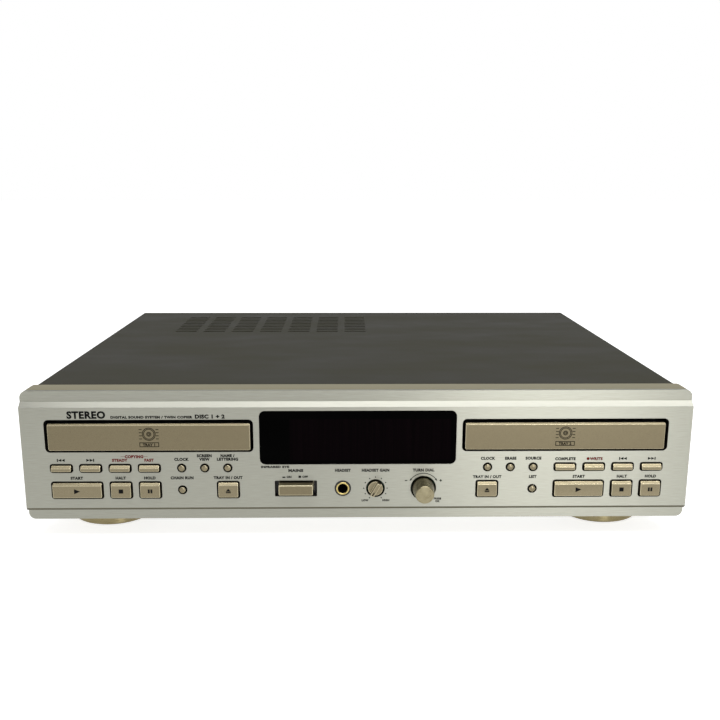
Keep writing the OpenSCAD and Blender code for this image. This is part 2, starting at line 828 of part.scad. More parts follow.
module power_button() {
    cap_w = power_w - 2 * power_gap_side;
    cap_h = power_h - power_gap_top - power_gap_below;
    color("#a39a80") translate([-power_left, 0, middle_z]) {
        translate([0, 0, (power_gap_below - power_gap_top) / 2]) difference() {
            plate(-power_out, wall_back + rim_t) rounded(cap_w, cap_h, power_corner_r);
            slope_cut(power_w, -power_out, cap_h / 2, power_slope_d, power_slope_h);
        }
        plate(wall_back, wall_back + rim_t)
            rounded(power_w + 2 * rim, power_h + 2 * rim, power_corner_r + rim);
        plate(wall_back, wall_back + rim_t + power_stem_l)
            square([power_w / 2, power_h / 2], center = true);
    }
}

module level_knob() {
    color("#a8a08a") translate([level_x, 0, middle_z]) rotate([0, -level_turn / 2, 0]) {
        rod(level_d / 2, level_face_y, level_skirt_y);
        intersection() {
            rod(level_d / 2, -level_out, level_skirt_y);
            plate(-level_out, level_skirt_y) square([level_grip_w, level_d], center = true);
        }
        rod(level_shaft_r, level_skirt_y, board_y - slide_gap);
    }
}

module jog_sleeve() {
    color("#3a3a3a") translate([jog_x, 0, middle_z]) difference() {
        rod(sleeve_r, sleeve_y0, sleeve_y1);
        rod(jog_spindle_r + fit_gap, sleeve_y0 - cut, sleeve_y1 + cut);
    }
}

module jog_knob() {
    skirt_y = 1;
    edge = 0.5;
    color("#a8a18c") translate([jog_x, 0, middle_z]) {
        rotate([90, 0, 0]) rotate_extrude() polygon([
            [0, -jog_back_y], [jog_d / 2, -jog_back_y], [jog_d / 2, skirt_y],
            [jog_face_d / 2, jog_out - edge], [jog_face_d / 2 - edge, jog_out], [0, jog_out]
        ]);
        rod(jog_spindle_r, jog_back_y, sleeve_y1);
    }
}

// Outline of the cover seen from the front, drawn in inwards and cut off at a height
module cover_outline(inset, z0) {
    half = cover_w / 2 - inset;
    top = panel_z1 - inset;
    r = cover_bend_r - inset;
    translate([-half, z0]) square([2 * half, top - r - z0]);
    translate([r - half, z0]) square([2 * (half - r), top - z0]);
    for (side = [-1, 1]) translate([side * (half - r), top - r]) circle(r);
}

// Vent slots, as an outline seen from above
module vent_slots() {
    span = (vent_columns - 1) / 2;
    for (i = [0 : vent_columns - 1], j = [0 : vent_rows - 1])
        translate([(i - span) * vent_pitch_x - vent_left, vent_y + j * vent_pitch_y]) {
            square([vent_l - vent_w, vent_w], center = true);
            for (side = [-1, 1]) translate([side * (vent_l - vent_w) / 2, 0]) circle(vent_w / 2);
        }
}

// Runs its child, drawn along +X, through each side screw's place
module at_side_screws() {
    for (y = side_screw_ys) {
        translate([cover_w / 2, y, side_screw_z]) children();
        translate([-cover_w / 2, y, side_screw_z]) mirror([1, 0, 0]) children();
    }
}

module top_cover() {
    color("#4e4d42") difference() {
        plate(frame_d, body_d) cover_outline(0, cover_z0);
        plate(frame_d - cut, rear_out) cover_outline(cover_t, cover_z0 - cut);
        box([cover_t - cover_w / 2, rear_out - cut, cover_z0 - cut],
            [cover_w / 2 - cover_t, body_d + cut, panel_z1 - lip_h]);
        translate([0, 0, panel_z1 - cover_t - cut]) linear_extrude(cover_t + 2 * cut) vent_slots();
        at_side_screws() rotate([0, 90, 0]) cylinder(r = screw_r + screw_gap, h = screw_l, center = true);
        for (x = lip_screw_xs) translate([x, 0, lip_screw_z])
            rod(screw_r + screw_gap, rear_out - cut, body_d + cut);
    }
}

module chassis_base() {
    color("#b9b7ae") {
        difference() {
            box([-base_half, frame_d, foot_h], [base_half, rear_in, base_z1 + edge_h]);
            box([base_t - base_half, frame_d + base_t, base_z1],
                [base_half - base_t, rear_in - base_t, base_z1 + edge_h + cut]);
            at_side_screws() rotate([0, 90, 0])
                cylinder(r = screw_r + screw_gap, h = 4 * screw_l, center = true);
            for (x = edge_screw_xs) translate([x, 0, side_screw_z])
                rod(screw_r + screw_gap, rear_in - base_t - cut, rear_in + cut);
            at_corners(foot_x, foot_front, rear_in - foot_rear) translate([0, 0, foot_h - cut])
                cylinder(r = foot_screw_r + screw_gap, h = base_t + 2 * cut);
        }
        for (x = [standoff_edge, main_board[0] - standoff_edge],
             y = [standoff_edge, main_board[1] - standoff_edge])
            translate([main_board_x - main_board[0] / 2 + x, main_board_y + y, base_z1])
                cylinder(r = standoff_r, h = standoff_h);
    }
}

module rear_panel() {
    color("#2f2e2b") difference() {
        box([-base_half, rear_in, foot_h], [base_half, rear_out, rear_z1]);
        for (x = PHONO_XS, i = [0, 1]) translate([x, 0, base_z1 + phono_z + i * phono_rise])
            rod(phono_ring_r + rear_hole_gap, rear_in - cut, rear_out + cut);
        for (i = [0, 1]) translate([optical_x, 0, base_z1 + phono_z + i * phono_rise])
            plate(rear_in - cut, rear_out + cut)
                square([optical[0] + 2 * rear_hole_gap, optical[1] + 2 * rear_hole_gap], center = true);
        translate([-inlet_left, 0, base_z1 + inlet_z]) plate(rear_in - cut, rear_out + cut)
            square([inlet[0] + 2 * rear_hole_gap, inlet[1] + 2 * rear_hole_gap], center = true);
        for (x = edge_screw_xs) translate([x, 0, side_screw_z])
            rod(screw_r + screw_gap, rear_in - cut, rear_out + cut);
        for (x = lip_screw_xs) translate([x, 0, lip_screw_z])
            rod(screw_r + screw_gap, rear_in - cut, rear_out + cut);
    }
}

// Two phono sockets, one above the other, on one body inside the rear panel
module phono_pair() {
    zs = [0, phono_rise];
    difference() {
        union() {
            translate([0, 0, phono_rise / 2]) plate(rear_in - block_d, rear_in)
                square([block_w, phono_rise + block_w], center = true);
            for (z = zs) translate([0, 0, z]) {
                rod(phono_ring_r, rear_in - cut, rear_out + phono_ring_t);
                rod(phono_d / 2, rear_in, rear_out + phono_out);
            }
        }
        for (z = zs) translate([0, 0, z])
            rod(phono_pin_r, rear_out + phono_out - phono_bore_l, rear_out + phono_out + cut);
    }
}

// Two optical sockets, one above the other
module optical_pair() {
    zs = [0, phono_rise];
    difference() {
        union() {
            translate([0, 0, phono_rise / 2]) plate(rear_in - block_d, rear_in)
                square([block_w, phono_rise + block_w], center = true);
            for (z = zs) translate([0, 0, z])
                plate(rear_in - cut, rear_out + optical_out) square(optical, center = true);
        }
        for (z = zs) translate([0, 0, z])
            plate(rear_out + optical_out - optical_port_l, rear_out + optical_out + cut)
                square(optical_port, center = true);
    }
}

module mains_inlet() {
    port_y = rear_out + inlet_rim_t - inlet_port_l;
    difference() {
        union() {
            plate(port_y - inlet_wall, rear_out + inlet_rim_t) square(inlet, center = true);
            plate(rear_out, rear_out + inlet_rim_t)
                square([inlet[0] + 2 * inlet_rim, inlet[1] + 2 * inlet_rim], center = true);
        }
        plate(port_y, rear_out + inlet_rim_t + cut)
            rounded(inlet_port[0], inlet_port[1], inlet_port[1] / 3);
    }
    for (side = [-1, 1]) translate([side * inlet_pin_gap / 2, 0, 0])
        rod(inlet_pin_r, port_y - cut, port_y + inlet_pin_l);
}

module rear_sockets() {
    color("#1d1c1b") {
        for (x = PHONO_XS) translate([x, 0, base_z1 + phono_z]) phono_pair();
        translate([optical_x, 0, base_z1 + phono_z]) optical_pair();
        translate([-inlet_left, 0, base_z1 + inlet_z]) mains_inlet();
    }
}

module feet() {
    color("#b79a5c") at_corners(foot_x, foot_front, rear_in - foot_rear) difference() {
        rotate_extrude() polygon([
            [0, pad_out], [foot_d / 2 - foot_fillet, pad_out], [foot_d / 2, pad_out + foot_fillet],
            [foot_d / 2, foot_h - foot_fillet / 2], [foot_d / 2 - foot_fillet / 2, foot_h], [0, foot_h]
        ]);
        translate([0, 0, pad_out - cut]) difference() {
            cylinder(r = foot_pad_r + slide_gap, h = pad_t - pad_out + cut);
            cylinder(r = foot_pad_r - pad_w - slide_gap, h = pad_t);
        }
        cylinder(r = foot_screw_r + screw_gap, h = foot_h + cut);
        cylinder(r = foot_sink_r, h = foot_sink_h);
    }
}

module foot_pads() {
    color("#1c1b1a") at_corners(foot_x, foot_front, rear_in - foot_rear) difference() {
        cylinder(r = foot_pad_r, h = pad_t);
        translate([0, 0, -cut]) cylinder(r = foot_pad_r - pad_w, h = pad_t + 2 * cut);
    }
}

// Screw along -Z with its head above zero
module screw(r, head_r, l) {
    difference() {
        union() {
            cylinder(r = head_r, h = screw_head_t);
            translate([0, 0, -l]) cylinder(r = r, h = l + cut);
        }
        for (a = [0, 90]) rotate(a) translate([0, 0, screw_head_t - cross_h / 2 + cut / 2])
            cube([cross_l, cross_w, cross_h + cut], center = true);
    }
}

module screws() {
    foot_screw_l = foot_h - foot_sink_h + base_t + foot_screw_over;
    color("#3b3935") {
        at_side_screws() rotate([0, 90, 0]) screw(screw_r, screw_head_r, screw_l);
        for (x = lip_screw_xs) translate([x, body_d, lip_screw_z])
            rotate([-90, 0, 0]) screw(screw_r, screw_head_r, screw_l);
        for (x = edge_screw_xs) translate([x, rear_out, side_screw_z])
            rotate([-90, 0, 0]) screw(screw_r, screw_head_r, screw_l);
        at_corners(foot_x, foot_front, rear_in - foot_rear) translate([0, 0, foot_sink_h])
            mirror([0, 0, 1]) screw(foot_screw_r, foot_sink_r - cut, foot_screw_l);
    }
}

module main_board() {
    corner = [main_board_x - main_board[0] / 2, main_board_y, base_z1 + standoff_h];
    color("darkolivegreen") translate(corner) {
        cube([main_board[0], main_board[1], board_t]);
        for (x = CHIP_XS) translate([x, chip_y, 0]) cube([chip[0], chip[1], board_t + chip[2]]);
        for (p = CAN_PLACES) translate(p) cylinder(r = can_r, h = can_h);
    }
}

module power_transformer() {
    core = transformer - 2 * transformer_inset * [1, 1, 0];
    coil = [core[0] - 2 * transformer_inset, transformer[1], transformer[2] / 2];
    color("#57524a") translate([transformer_x, transformer_y + transformer[1] / 2, base_z1]) {
        linear_extrude(transformer_foot_t) square([transformer[0], transformer[1]], center = true);
        linear_extrude(core[2]) square([core[0], core[1]], center = true);
        translate([0, 0, coil[2] / 2]) linear_extrude(coil[2]) square([coil[0], coil[1]], center = true);
    }
}

module tray_door() {
    door_w = tray_hole_w - 2 * door_gap_side;
    door_h = door_z1 - door_z0;
    color("#a0977c") translate([0, 0, (door_z0 + door_z1) / 2]) difference() {
        plate(-door_out, door_back) rounded(door_w, door_h, door_corner_r);
        slope_cut(tray_hole_w, -door_out, door_h / 2, door_slope, door_slope);
    }
}

// Rack along the tray's underside, seen from above, with its teeth towards +X
module rack_outline() {
    half = tooth_pitch / 4 - tooth_play / 2;
    root_half = half + tooth_root * tan(pressure_angle);
    top_half = half - tooth_top * tan(pressure_angle);
    last = ceil(tray_travel / tooth_pitch) + 2;
    y0 = gear_y - 2.5 * tooth_pitch;
    y1 = gear_y + (last + 1) * tooth_pitch;
    back = -rack_x - tooth_root - rack_body;
    polygon(concat(
        [[back, y1], [back, y0], [-rack_x - tooth_root, y0]],
        [for (i = [-2 : last]) let (y = gear_y + (i + 0.5) * tooth_pitch) each [
            [-rack_x - tooth_root, y - root_half], [-rack_x + tooth_top, y - top_half],
            [-rack_x + tooth_top, y + top_half], [-rack_x - tooth_root, y + root_half]]],
        [[-rack_x - tooth_root, y1]]
    ));
}

module tray() {
    y1 = door_back + tray_l;
    half = tray_w / 2;
    color("#2b2a29") {
        difference() {
            box([-half, door_back, tray_z0], [half, y1, tray_z1]);
            translate([0, spindle_y, well_z]) cylinder(r = disc_d / 2 + disc_gap, h = well_h + cut);
            translate([0, spindle_y, well_z - small_well_h]) cylinder(r = small_well_d / 2, h = tray_t);
            translate([0, spindle_y, tray_z0 - cut]) cylinder(r = slot_w / 2, h = tray_t + 2 * cut);
            box([-slot_w / 2, spindle_y, tray_z0 - cut], [slot_w / 2, y1 + cut, tray_z1 + cut]);
        }
        box([-half, door_back, runner_z0], [runner_w - half, y1, tray_z0]);
        box([half - runner_w, door_back, runner_z0], [half, y1, tray_z0]);
        translate([0, 0, rack_z0]) linear_extrude(tray_z0 - rack_z0) rack_outline();
    }
}

// Angle of an involute, in degrees, where the pressure angle is a
function involute(a) = tan(a) * 180 / PI - a;
base_circle_r = gear_r * cos(pressure_angle);
half_tooth = 90 / gear_teeth - tooth_play / 2 / gear_r * 180 / PI;
function half_angle(r) =
    half_tooth + involute(pressure_angle) - involute(r > base_circle_r ? acos(base_circle_r / r) : 0);
flank_rs = [gear_r - tooth_root, base_circle_r, gear_r, gear_r + tooth_top];

module gear_outline() {
    polygon([for (i = [0 : gear_teeth - 1]) let (mid = 360 * i / gear_teeth) each concat(
        [for (r = flank_rs) r * [cos(mid - half_angle(r)), sin(mid - half_angle(r))]],
        [for (j = [3 : -1 : 0]) let (r = flank_rs[j], a = mid + half_angle(r)) r * [cos(a), sin(a)]]
    )]);
}

module drive_gear() {
    color("#d8d4c6") translate([gear_x, gear_y, 0]) {
        translate([0, 0, gear_z0]) linear_extrude(gear_h) gear_outline();
        translate([0, 0, shaft_z0]) cylinder(r = drive_shaft_r, h = gear_z0 - shaft_z0 + cut);
    }
}

module loader_frame() {
    legs = leg_r + loader_wall;
    difference() {
        union() {
            box([-loader_out, loader_y0, floor_z0], [loader_out, loader_y1, floor_z1]);
            for (side = [-1, 1]) {
                x = side < 0 ? [-loader_out, -loader_in] : [loader_in, loader_out];
                ledge = side < 0 ? [-loader_in, ledge_w - loader_in] : [loader_in - ledge_w, loader_in];
                ear = side < 0 ? [-ear_x - ear_t, -ear_x] : [ear_x, ear_x + ear_t];
                box([x[0], loader_y0, floor_z0], [x[1], loader_y1, wall_z1]);
                box([ledge[0], loader_y0, ledge_z1 - guide_t], [ledge[1], loader_y1, ledge_z1]);
                box([ledge[0], loader_y0, guide_z0], [ledge[1], loader_y1, guide_z0 + guide_t]);
                box([ear[0], hinge_y - ear_half, floor_z0],
                    [ear[1], hinge_y + ear_half, hinge_z + ear_half]);
                translate([side * stop_x, stop_y, floor_z0]) cylinder(r = stop_r, h = stop_z1 - floor_z0);
            }
            box([-loader_out, loader_y1 - loader_wall, floor_z0],
                [loader_out, loader_y1, floor_z1 + back_wall_h]);
            translate([gear_x, gear_y, floor_z0]) cylinder(r = boss_r, h = gear_z0 - slide_gap - floor_z0);
            at_corners(loader_in - leg_r, loader_y0 + legs, loader_y1 - legs)
                translate([0, 0, base_z1]) cylinder(r = leg_r, h = floor_z1 - base_z1);
        }
        translate([gear_x, gear_y, floor_z0 - cut]) cylinder(r = drive_shaft_r + fit_gap, h = deck_z);
        translate([0, hinge_y, hinge_z]) rotate([0, 90, 0])
            cylinder(r = pin_r + fit_gap, h = 2 * (ear_x + ear_t + cut), center = true);
    }
}

module loader_frames() {
    color("#3a3936") for (side = [-1, 1]) translate([side * deck_x, 0, 0]) loader_frame();
}

module loading_motor() {
    z0 = floor_z0 - gearbox_h;
    translate([gear_x, gear_y, 0]) difference() {
        union() {
            translate([-gearbox[1] / 2, -gearbox[1] / 2, z0]) cube([gearbox[0], gearbox[1], gearbox_h]);
            translate([motor_shift, 0, z0 - motor_h]) cylinder(r = motor_d / 2, h = motor_h + cut);
        }
        translate([0, 0, shaft_z0 - slide_gap]) cylinder(r = drive_shaft_r + fit_gap, h = gearbox_h);
    }
}

module loading_motors() {
    color("#8c8a85") for (side = [-1, 1]) translate([side * deck_x, 0, 0]) loading_motor();
}

module clamp_bridges() {
    color("#9b9a94") for (side = [-1, 1]) translate([side * deck_x, spindle_y, wall_z1]) difference() {
        translate([-loader_out, -bridge_w / 2, 0]) cube([2 * loader_out, bridge_w, bridge_t]);
        translate([0, 0, -cut]) cylinder(r = bridge_hole_r, h = bridge_t + 2 * cut);
    }
}

module clamper() {
    top_z = wall_z1 + bridge_t;
    color("#dedad0") translate([0, spindle_y, 0]) {
        translate([0, 0, clamp_z0]) cylinder(r = clamp_r, h = clamp_t);
        translate([0, 0, clamp_z0]) cylinder(r = clamp_neck_r, h = top_z + clamp_top_t - clamp_z0);
        translate([0, 0, top_z]) cylinder(r = clamp_top_r, h = clamp_top_t);
    }
}

// Tips the mechanism from its level place, at the top of its lift, to its place at rest
module lowered() {
    translate([0, hinge_y, hinge_z]) rotate([tilt, 0, 0]) translate([0, -hinge_y, -hinge_z]) children();
}

module traverse() {
    half = traverse_w / 2;
    bay_half = sled_w / 2 + bay_gap;
    grip_half = rod_r + rod_wall;
    grip_z1 = sled_z0 + sled_h - slide_gap;
    color("#a5a6a8") lowered() {
        difference() {
            box([-half, plate_y0, plate_z0], [half, plate_y1, plate_z1]);
            box([-bay_half, bay_y0, plate_z0 - cut], [bay_half, bay_y1, plate_z1 + cut]);
            translate([0, spindle_y, plate_z0 - cut])
                cylinder(r = spindle_hole_r, h = traverse_t + 2 * cut);
        }
        translate([0, hinge_y, hinge_z]) rotate([0, 90, 0])
            cylinder(r = pin_r, h = 2 * (ear_x + ear_t), center = true);
        translate([0, spindle_y, plate_z0 - spindle_h]) difference() {
            cylinder(r = spindle_d / 2, h = spindle_h);
            translate([0, 0, spindle_floor]) cylinder(r = spindle_r + fit_gap, h = spindle_h);
        }
        for (side = [-1, 1]) {
            translate([side * rod_x, 0, rod_z]) rod(rod_r, bay_y0 - rod_grip, bay_y1 + rod_grip);
            for (y = [bay_y0 - rod_grip, bay_y1]) box(
                [side * rod_x - grip_half, y, plate_z0], [side * rod_x + grip_half, y + rod_grip, grip_z1]);
        }
    }
}

module turntable() {
    color("#2e2d2c") lowered() translate([0, spindle_y, 0]) {
        translate([0, 0, turntable_z0]) cylinder(r = turntable_r, h = turntable_t);
        translate([0, 0, seat_z]) cylinder(r1 = hub_r, r2 = hub_r - hub_taper, h = hub_h);
        translate([0, 0, plate_z0 + slide_gap])
            cylinder(r = spindle_boss_r, h = turntable_z0 - plate_z0);
        translate([0, 0, plate_z0 - spindle_bore_l + slide_gap])
            cylinder(r = spindle_r, h = spindle_bore_l + traverse_t);
    }
}

module pickup_sled() {
    color("#3c3b40") lowered() difference() {
        union() {
            box([-sled_w / 2, sled_y0, sled_z0], [sled_w / 2, sled_y1, sled_z0 + sled_h]);
            translate([0, lens_y, sled_z0]) cylinder(r = lens_r, h = sled_h + lens_h);
        }
        for (side = [-1, 1]) translate([side * rod_x, 0, rod_z])
            rod(rod_r + fit_gap, sled_y0 - cut, sled_y1 + cut);
    }
}

placed() chassis_base();
placed() rear_panel();
placed() top_cover();
placed() front_frame();
placed() front_panel();
placed() display_window();
placed() display_tube();
placed() front_board();
placed() headphone_jack();
placed() loader_frames();
placed() clamp_bridges();
placed() loading_motors();
placed() main_board();
placed() power_transformer();
placed() feet();
placed() foot_pads();
placed() rear_sockets();
placed() screws();
placed() power_button();
placed() level_knob();
placed() jog_sleeve();
placed() jog_knob();
for (k = KEYS) placed() key(k);
for (d = DECKS) {
    at_deck(d[1]) tray();
    at_deck(d[1]) tray_door();
    at_deck(d[1]) drive_gear();
    at_deck(d[1]) traverse();
    at_deck(d[1]) turntable();
    at_deck(d[1]) pickup_sled();
    at_deck(d[1]) clamper();
}
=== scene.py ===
"""Looks of a disc recorder with two trays, dressed over its CAD frame.

Metres, +Z up, the front faces -Y. Sizes on the object are written in millimetres and turned to metres by
MM. The lamps and the floor are written in metres.
"""

import json
import math

import bmesh
import bpy
from mathutils import Matrix, Vector
from mathutils.bvhtree import BVHTree


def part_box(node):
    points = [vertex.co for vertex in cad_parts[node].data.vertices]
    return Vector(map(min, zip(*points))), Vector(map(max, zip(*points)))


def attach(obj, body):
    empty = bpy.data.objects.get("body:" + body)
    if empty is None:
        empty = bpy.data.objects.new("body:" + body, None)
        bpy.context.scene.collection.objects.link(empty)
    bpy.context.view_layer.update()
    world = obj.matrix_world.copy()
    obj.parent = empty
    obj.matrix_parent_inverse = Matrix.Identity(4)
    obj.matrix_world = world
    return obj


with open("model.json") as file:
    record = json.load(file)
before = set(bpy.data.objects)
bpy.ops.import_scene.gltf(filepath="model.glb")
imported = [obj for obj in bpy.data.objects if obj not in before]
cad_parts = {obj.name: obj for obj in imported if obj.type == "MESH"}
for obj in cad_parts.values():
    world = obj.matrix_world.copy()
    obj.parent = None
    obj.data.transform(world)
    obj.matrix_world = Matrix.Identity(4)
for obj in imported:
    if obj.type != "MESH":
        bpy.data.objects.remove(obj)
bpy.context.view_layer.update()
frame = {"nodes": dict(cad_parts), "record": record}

NODES = frame["nodes"]
MOUNTS = {mount["name"]: Vector(mount["pos_m"]) for mount in frame["record"]["mounts"]}
MM = 0.001

# Places from the frame: the panel, the frame behind it, the panel's face and the rear panel's face
PANEL_LOW, PANEL_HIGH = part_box("front_panel")
FRAME_LOW, FRAME_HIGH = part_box("front_frame")
FRAME_MIDDLE = (FRAME_LOW + FRAME_HIGH) / 2
FRAME_HALF = (FRAME_HIGH - FRAME_LOW) / 2
FACE_Y = PANEL_LOW.y
REAR_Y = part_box("rear_panel")[1].y

# The panel's main face: the set-back strip under it, and its own height
LOWER_STRIP = 9 * MM
FACE_TALL = 68.3 * MM
FACE_LOW = PANEL_LOW.z + LOWER_STRIP
FACE_HIGH = FACE_LOW + FACE_TALL

# Half the thickness of printed ink, drawn thicker than real so that it stands clear of its surface
INK = 0.03 * MM

# Between these two values lies most of what a noise gives
NOISE_ENDS = (0.3, 0.7)
NOISE_DETAIL = 2.0
# How far an upright gloss is stretched
UPRIGHT_STRETCH = 0.85


def linear(colour):
    """Linear red, green, blue and alpha of an sRGB colour written as #rrggbb."""
    parts = [int(colour[i:i + 2], 16) / 255 for i in (1, 3, 5)]
    return [c / 12.92 if c <= 0.04045 else ((c + 0.055) / 1.055) ** 2.4 for c in parts] + [1.0]


def add_node(owner, kind, values=None, links=None, **settings):
    """Adds a node to a material or world, sets its properties and input values, and links its inputs."""
    made = owner.node_tree.nodes.new(kind)
    for name, value in settings.items():
        setattr(made, name, value)
    for name, value in (values or {}).items():
        made.inputs[name].default_value = value
    for name, source in (links or {}).items():
        owner.node_tree.links.new(source, made.inputs[name])
    return made


def finish(name, tones, gloss, size, depth, values, relief=None, upright=False):
    """A material with grains of a size, in millimetres along X, Y and Z, that run between two tones and
    two roughnesses. Its relief, of a depth in millimetres, has the same grains or others. An upright gloss
    is stretched up and down, across level marks of a tool."""
    material = bpy.data.materials.new(name)
    material.use_nodes = True
    shader = material.node_tree.nodes["Principled BSDF"]
    for socket, value in values.items():
        shader.inputs[socket].default_value = value
    place = add_node(material, "ShaderNodeTexCoord")
    grains = []
    for measure in (size, relief or size):
        stretched = add_node(
            material, "ShaderNodeMapping", {"Scale": [1 / (s * MM) for s in measure]},
            {"Vector": place.outputs["Object"]})
        noise = add_node(
            material, "ShaderNodeTexNoise", {"Scale": 1.0, "Detail": NOISE_DETAIL},
            {"Vector": stretched.outputs["Vector"]})
        grains.append(noise.outputs["Fac"])
    ramp = add_node(material, "ShaderNodeValToRGB", links={"Fac": grains[0]})
    for element, position, colour in zip(ramp.color_ramp.elements, NOISE_ENDS, tones):
        element.position = position
        element.color = linear(colour)
    rough = add_node(
        material, "ShaderNodeMapRange",
        {"From Min": NOISE_ENDS[0], "From Max": NOISE_ENDS[1], "To Min": gloss[0], "To Max": gloss[1]},
        {"Value": grains[0]})
    bump = add_node(material, "ShaderNodeBump", {"Distance": depth * MM}, {"Height": grains[1]})
    links = material.node_tree.links
    links.new(ramp.outputs["Color"], shader.inputs["Base Color"])
    links.new(rough.outputs["Result"], shader.inputs["Roughness"])
    links.new(bump.outputs["Normal"], shader.inputs["Normal"])
    if upright:
        stretch = add_node(material, "ShaderNodeCombineXYZ", {"Z": 1.0})
        links.new(stretch.outputs["Vector"], shader.inputs["Tangent"])
        shader.inputs["Anisotropic"].default_value = UPRIGHT_STRETCH
    return material


# Shader values that finishes share
METAL = {"Metallic": 1.0}
FLAKE_PAINT = {"Metallic": 0.9, "IOR": 1.5}
PLASTIC = {"IOR": 1.5}
INK_FILM = {"IOR": 1.5, "Specular IOR Level": 0.1}
DARK_WINDOW = {"IOR": 1.49, "Specular IOR Level": 0.01}

# Finishes of the slots that the CAD nodes name
FINISHES = {
    # Aluminium sheet brushed along its width and clear anodised: level streaks, drawn coarser than real
    "brushed_aluminium": finish(
        "brushed_anodised_aluminium", ("#9a9a8f", "#a6a69b"), (0.36, 0.44), (9, 0.3, 0.3), 0.004, METAL,
        upright=True),
    # ABS sprayed with champagne metallic paint: a satin skin over flakes, drawn coarser than real
    "champagne_paint": finish(
        "sprayed_champagne_abs", ("#786f58", "#877e67"), (0.27, 0.36), (0.25, 0.25, 0.25), 0.004,
        FLAKE_PAINT),
    # The same paint on the moulded frame behind the panel: duller and browner
    "frame_paint": finish(
        "sprayed_frame_abs", ("#8a8467", "#968f72"), (0.42, 0.52), (0.3, 0.3, 0.3), 0.004,
        {"Metallic": 0.4, "IOR": 1.5}),
    # Aluminium turned on a lathe and champagne anodised: faint rings, drawn coarser than real
    "turned_aluminium": finish(
        "turned_anodised_aluminium", ("#827a60", "#978f74"), (0.25, 0.34), (4, 0.3, 4), 0.006, METAL),
    # Steel sheet with a baked olive-black texture paint: a pebbled skin, with faint clouds of dust on it
    "cover_paint": finish(
        "baked_paint_on_steel", ("#302f27", "#3a392e"), (0.5, 0.62), (70, 30, 40), 0.02,
        {"IOR": 1.45, "Specular IOR Level": 0.1}, relief=(0.9, 0.9, 0.9)),
    # Steel sheet with a matt black paint: dull, with a fine grain
    "rear_paint": finish(
        "matt_paint_on_steel", ("#1c1c1a", "#262523"), (0.5, 0.62), (0.8, 0.8, 0.8), 0.02,
        {"IOR": 1.45, "Specular IOR Level": 0.3}),
    # Zinc-plated steel sheet: pale blotches of spangle
    "zinc_steel": finish(
        "zinc_plated_steel", ("#96968f", "#aeaea6"), (0.38, 0.52), (9, 9, 9), 0.01, {"Metallic": 0.9}),
    # Cast smoked acrylic, coated against glare: near black, with hardly a mirror image in it
    "smoked_acrylic": finish(
        "cast_smoked_acrylic", ("#010101", "#030303"), (0.05, 0.08), (70, 20, 22), 0.0, DARK_WINDOW),
    # Blown glass of the display tube: glossy, with dark phosphor cells behind it
    "tube_glass": finish(
        "blown_tube_glass", ("#241722", "#382431"), (0.08, 0.12), (3, 3, 5), 0.0, PLASTIC),
    # Glass-fibre board under green solder mask: paler lines where copper tracks run
    "circuit_board": finish(
        "masked_fibreglass", ("#1a4528", "#2f6643"), (0.3, 0.4), (12, 1.2, 1.2), 0.03, PLASTIC),
    # Moulded ABS in black: the fine grain of its tool
    "black_plastic": finish(
        "moulded_black_abs", ("#141312", "#1c1b1a"), (0.4, 0.55), (0.5, 0.5, 0.5), 0.012, PLASTIC),
    # The same in the trays' dark grey: a coarser grain
    "tray_plastic": finish(
        "moulded_grey_abs", ("#201f1e", "#2a2928"), (0.42, 0.55), (0.7, 0.7, 0.7), 0.012, PLASTIC),
    # Moulded acetal: waxy ivory, slightly glossy
    "gear_plastic": finish(
        "moulded_acetal", ("#d2cdbd", "#ded9ca"), (0.3, 0.4), (0.5, 0.5, 0.5), 0.01, {"IOR": 1.48}),
    # Drawn steel cans of the motors: bright, with marks along the draw
    "motor_steel": finish(
        "drawn_steel", ("#86857f", "#98968f"), (0.25, 0.38), (20, 1, 1), 0.006, METAL),
    # Stacked, varnished core sheets of the transformer: brown-grey layers
    "transformer_steel": finish(
        "varnished_laminations", ("#4c4841", "#5d584f"), (0.4, 0.55), (0.5, 30, 30), 0.02, METAL),
    # Die-cast zinc of the mechanism: even satin grey
    "mechanism_metal": finish(
        "die_cast_zinc", ("#9a9c9e", "#adafb0"), (0.35, 0.48), (2, 2, 2), 0.008, METAL),
    # Rolled and nickel-plated steel of the bridges: bright, with marks along the roll
    "bridge_steel": finish(
        "nickel_plated_steel", ("#95958f", "#a8a8a1"), (0.28, 0.4), (20, 1, 1), 0.006, METAL),
    # Pale gold plating over turned feet and rolled brass: bright, with faint level rings
    "gold_plating": finish(
        "pale_gold_plate", ("#8b805d", "#9d9270"), (0.24, 0.32), (6, 6, 0.4), 0.004, METAL, upright=True),
    # Moulded rubber of the pads: dull black
    "pad_rubber": finish(
        "moulded_rubber", ("#141413", "#1d1c1b"), (0.6, 0.75), (0.8, 0.8, 0.8), 0.02, {"IOR": 1.52}),
    # Blackened steel of the screws: dark satin
    "screw_steel": finish(
        "blackened_steel", ("#35332f", "#454239"), (0.3, 0.42), (1, 1, 1), 0.006, METAL),
}
# Upper bevel of the panel: the brushed aluminium in a paler tone than the face, a painted highlight where
# it faces the light above
BEVEL_HIGHLIGHT = finish(
    "aluminium_with_painted_highlight", ("#b0b0a6", "#babab0"), (0.36, 0.44), (9, 0.3, 0.3), 0.003, METAL,
    upright=True)
# Small bevel under the panel's main face: a dark, dull tone, painted shade where the edge faces down
LOWER_EDGE_SHADE = finish(
    "aluminium_with_painted_shade", ("#5a5749", "#656253"), (0.45, 0.55), (1.5, 0.3, 0.3), 0.004, METAL)
# The champagne paint on the tray doors and the power button: a deeper tone than on the keys
DEEP_PAINT = finish(
    "sprayed_deep_champagne_abs", ("#6c634f", "#7a7159"), (0.27, 0.36), (0.25, 0.25, 0.25), 0.004,
    FLAKE_PAINT)
